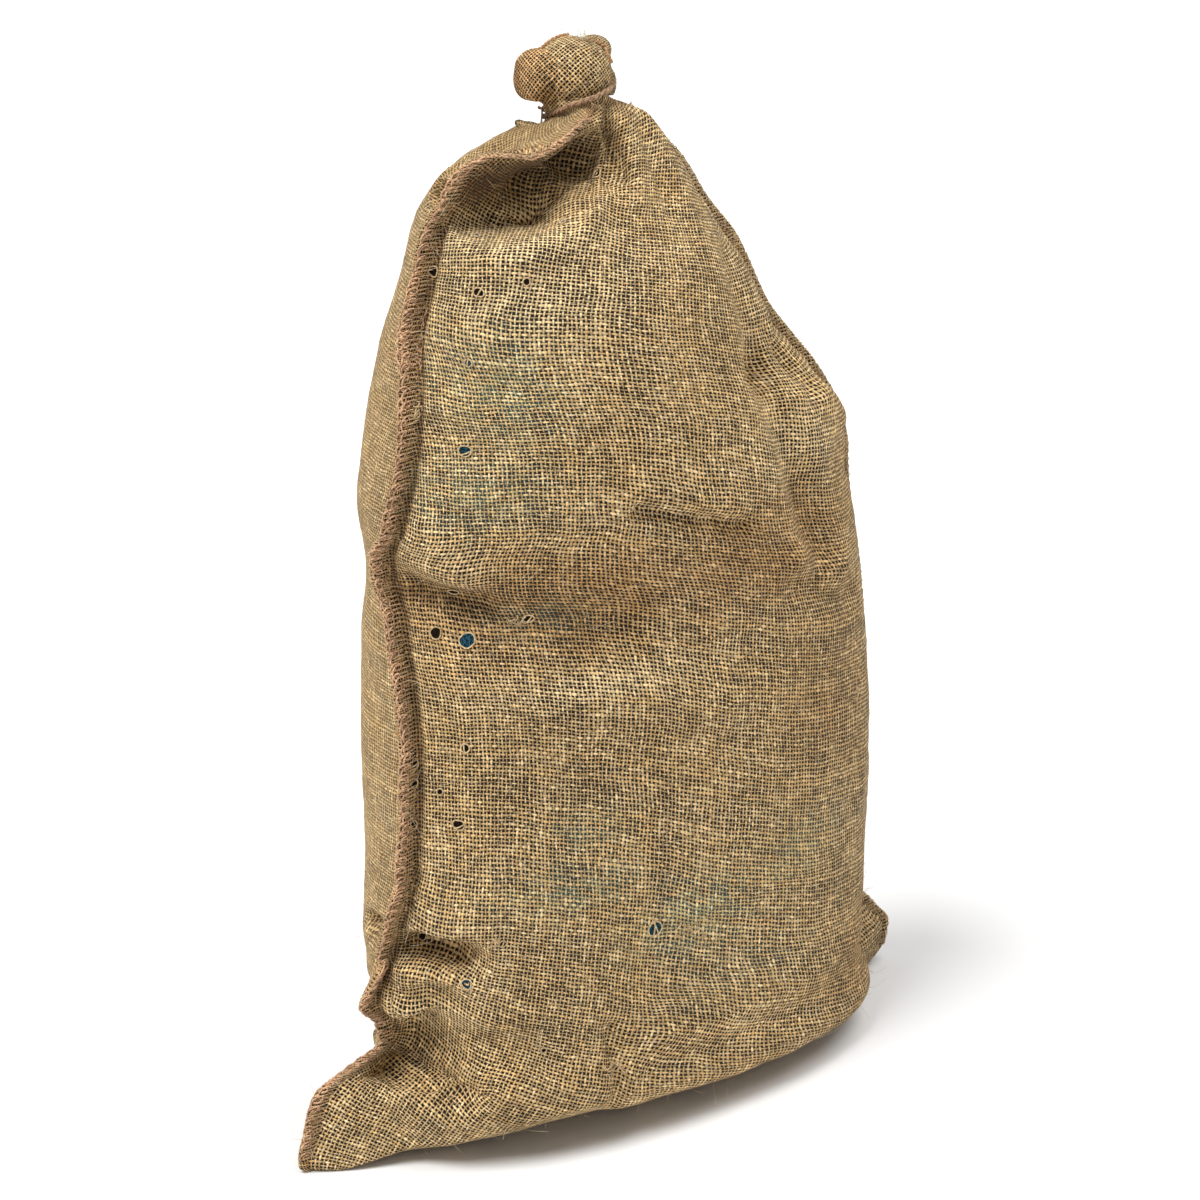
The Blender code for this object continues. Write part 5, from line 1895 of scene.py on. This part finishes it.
def rim_yarns(cloth, snag, rim, seed):
    """The yarn pushed back round an opening, and what is left across it."""
    x, z, half_width, half_height, _, across = snag
    middle, right, up, outward = snag_frame(cloth, x, z)
    turn = np.linspace(0, 1, 3 * SNAG_SIDES + 1)
    at = turn * SNAG_SIDES
    closed = np.concatenate((rim, rim[:1]))
    loop = np.column_stack([
        np.interp(at % SNAG_SIDES, np.arange(SNAG_SIDES + 1), closed[:, k]) for k in range(3)
    ])
    sway = RIM_SWAY * noise(np.column_stack((at, 0 * at, 0 * at + seed)), RIM_SWAY_STEP, seed)
    loop = middle + (loop - middle) * RIM_OUT + outward * sway[:, None]
    loop = np.array([cloth.lifted(place, RIM_LIFT) for place in loop])
    paths, radii = [loop], [RIM_RADIUS]
    for k in range(across):
        luck = chance((k, seed, 3), 7)
        turned = ACROSS_TURN * luck + k
        way = unit(right * np.cos(turned) + up * np.sin(turned))
        off = np.cross(outward, way) * half_width * (luck - 0.5)
        reach = ACROSS_REACH * max(half_width, half_height)
        paths.append(even_path((
            middle + off - way * reach,
            middle + off * ACROSS_BOW + outward * ACROSS_LIFT,
            middle + off + way * reach,
        )))
        radii.append(RIM_RADIUS)
    return paths, radii


def pulled_yarns(cloth):
    """Short curls of yarn, whose ends dip into the cloth."""
    paths, radii = [], []
    for index, (x, z, spread_out, count) in enumerate(PULLS):
        for k in range(count):
            luck = [chance((k, index, axis), 41) for axis in range(6)]
            place_x = x + spread_out * (luck[0] - 0.5) * 2
            place_z = z + spread_out * (luck[1] - 0.5)
            middle, right, up, outward = snag_frame(cloth, place_x, place_z)
            way = unit(right * (luck[2] - 0.5) + up * (luck[3] - 0.5))
            side = np.cross(outward, way)
            reach = PULL_REACHES[0] + PULL_REACHES[1] * luck[4]
            curl = side * (luck[5] - 0.5)
            course = (-way, -way * 0.4 + curl, way * 0.4 - curl, way)
            paths.append(even_path([
                middle + part * reach + outward * lift for part, lift in zip(course, PULL_LIFTS)
            ]))
            radii.append(PULL_RADIUS)
    return paths, radii


def add_snags(grid):
    """The openings, the yarns round and across them, and the pulled yarns."""
    cloth = FrontCloth(grid)
    found = {"dark": [], "blue": []}
    paths, radii = [], []
    for seed, snag in enumerate(SNAGS):
        disc = snag_disc(cloth, snag, seed)
        found[snag[4]].append(disc)
        more_paths, more_radii = rim_yarns(cloth, snag, disc[2], seed)
        paths.extend(more_paths)
        radii.extend(more_radii)
    for kind, discs in found.items():
        mesh = discs_mesh("snags_" + kind, discs)
        add_piece("snags_" + kind, mesh, hole_material("snag_" + kind))
    more_paths, more_radii = pulled_yarns(cloth)
    mesh = tubes_mesh("snag_yarns", paths + more_paths, radii + more_radii, STITCH_SIDES)
    add_piece("snag_yarns", mesh, yarn_material("loose_yarn"))


def add_fibres(grid, levels):
    """Short stray fibres that stand off the cloth everywhere."""
    luck = np.random.default_rng(7)
    normals = grid_normals(grid)
    rows = np.searchsorted(levels, luck.uniform(FIBRES_FROM, levels[-1], FIBRE_COUNT))
    rows = rows.clip(1, len(levels) - 2)
    places = luck.integers(0, AROUND, FIBRE_COUNT)
    start = grid[rows, places]
    outward = normals[rows, places]
    along = unit(luck.normal(size=(FIBRE_COUNT, 3)))
    way = unit(outward * luck.uniform(*FIBRE_RISE, (FIBRE_COUNT, 1)) + along * FIBRE_LEAN)
    bend = luck.normal(size=(FIBRE_COUNT, 3)) * FIBRE_CURL - outward * FIBRE_SINK
    short, long = FIBRE_LENGTHS
    length = short + (long - short) * luck.random(FIBRE_COUNT) ** 2
    step = np.linspace(0, 1, FIBRE_POINTS)[None, :, None]
    course = way[:, None] * step + bend[:, None] * step ** 2
    paths = start[:, None] + length[:, None, None] * course
    paths[..., 2] = np.maximum(paths[..., 2], FIBRE_RADIUS)
    depth = paths[..., 1]
    near = (depth > cad_low[1] - FIBRE_PAST) & (depth < cad_high[1] + FIBRE_PAST)
    paths = paths[near.all(axis=1)]
    mesh = tubes_mesh("stray_fibres", paths, [FIBRE_RADIUS] * len(paths), FIBRE_SIDES)
    add_piece("stray_fibres", mesh, yarn_material("stray_fibre"))


# ---- Camera, floor and light -----------------------------------------------------------

WORLD_LIGHT = 0.36
WHITE = (1.0, 1.0, 1.0, 1.0)
FLOOR = (0.80, 0.80, 0.80, 1.0)
FLOOR_REACH = 8.0
LAMPS = (
    # name, light, from, softness
    ("key", 3.1, (-0.55, 0.00, 0.95), 0.50),
    ("fill", 1.8, (0.40, -0.15, 0.95), 0.70),
)


def view_axes():
    """The camera's right, up and back directions."""
    turn, rise = np.radians(CAMERA_AZIMUTH), np.radians(CAMERA_ELEVATION)
    back = np.array((np.sin(turn) * np.cos(rise), -np.cos(turn) * np.cos(rise), np.sin(rise)))
    right = np.array((np.cos(turn), np.sin(turn), 0.0))
    return right, np.cross(back, right), back


def add_camera():
    """The photograph's view."""
    right, up, back = view_axes()
    data = bpy.data.cameras.new("camera")
    data.lens = CAMERA_LENS_MM
    data.sensor_width = CAMERA_SENSOR_MM
    data.sensor_height = CAMERA_SENSOR_MM
    data.clip_end = CAMERA_CLIP
    camera = bpy.data.objects.new("camera", data)
    place = Matrix(np.column_stack((right, up, back)).tolist()).to_4x4()
    place.translation = Vector(CAMERA_TARGET) + CAMERA_DISTANCE * Vector(back)
    camera.matrix_world = place
    bpy.context.scene.collection.objects.link(camera)
    bpy.context.scene.camera = camera


def add_studio():
    """The light floor, the white sky and the lamps."""
    paint = Paint("floor", roughness=0.9)
    paint.shader.inputs["Base Color"].default_value = FLOOR
    mesh = bpy.data.meshes.new("floor")
    low, high = -FLOOR_REACH, FLOOR_REACH
    corners = [(low, low, 0), (high, low, 0), (high, high, 0), (low, high, 0)]
    mesh.from_pydata(corners, [], [(0, 1, 2, 3)])
    floor = bpy.data.objects.new("floor", mesh)
    mesh.materials.append(paint.material)
    bpy.context.scene.collection.objects.link(floor)

    world = bpy.data.worlds.new("studio")
    world.use_nodes = True
    sky = world.node_tree.nodes["Background"]
    sky.inputs["Color"].default_value = WHITE
    sky.inputs["Strength"].default_value = WORLD_LIGHT
    bpy.context.scene.world = world
    for name, light, place, softness in LAMPS:
        data = bpy.data.lights.new(name, "SUN")
        data.energy = light
        data.angle = softness
        lamp = bpy.data.objects.new(name, data)
        lamp.rotation_euler = Vector(place).to_track_quat("Z", "Y").to_euler()
        bpy.context.scene.collection.objects.link(lamp)
    bpy.context.scene.view_settings.view_transform = "Standard"


# ---- The pieces ------------------------------------------------------------------------


def main():
    levels = ring_levels()
    grid = fold_grid(body_grid(levels), levels)
    cloth = add_piece("sack_cloth", cloth_mesh(grid, levels), hessian())
    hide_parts("sack")
    add_sewing(grid, levels)
    add_twine(grid, levels)
    add_hems(grid)
    add_snags(grid)
    add_fibres(grid, levels)
    add_camera()
    add_studio()


main()
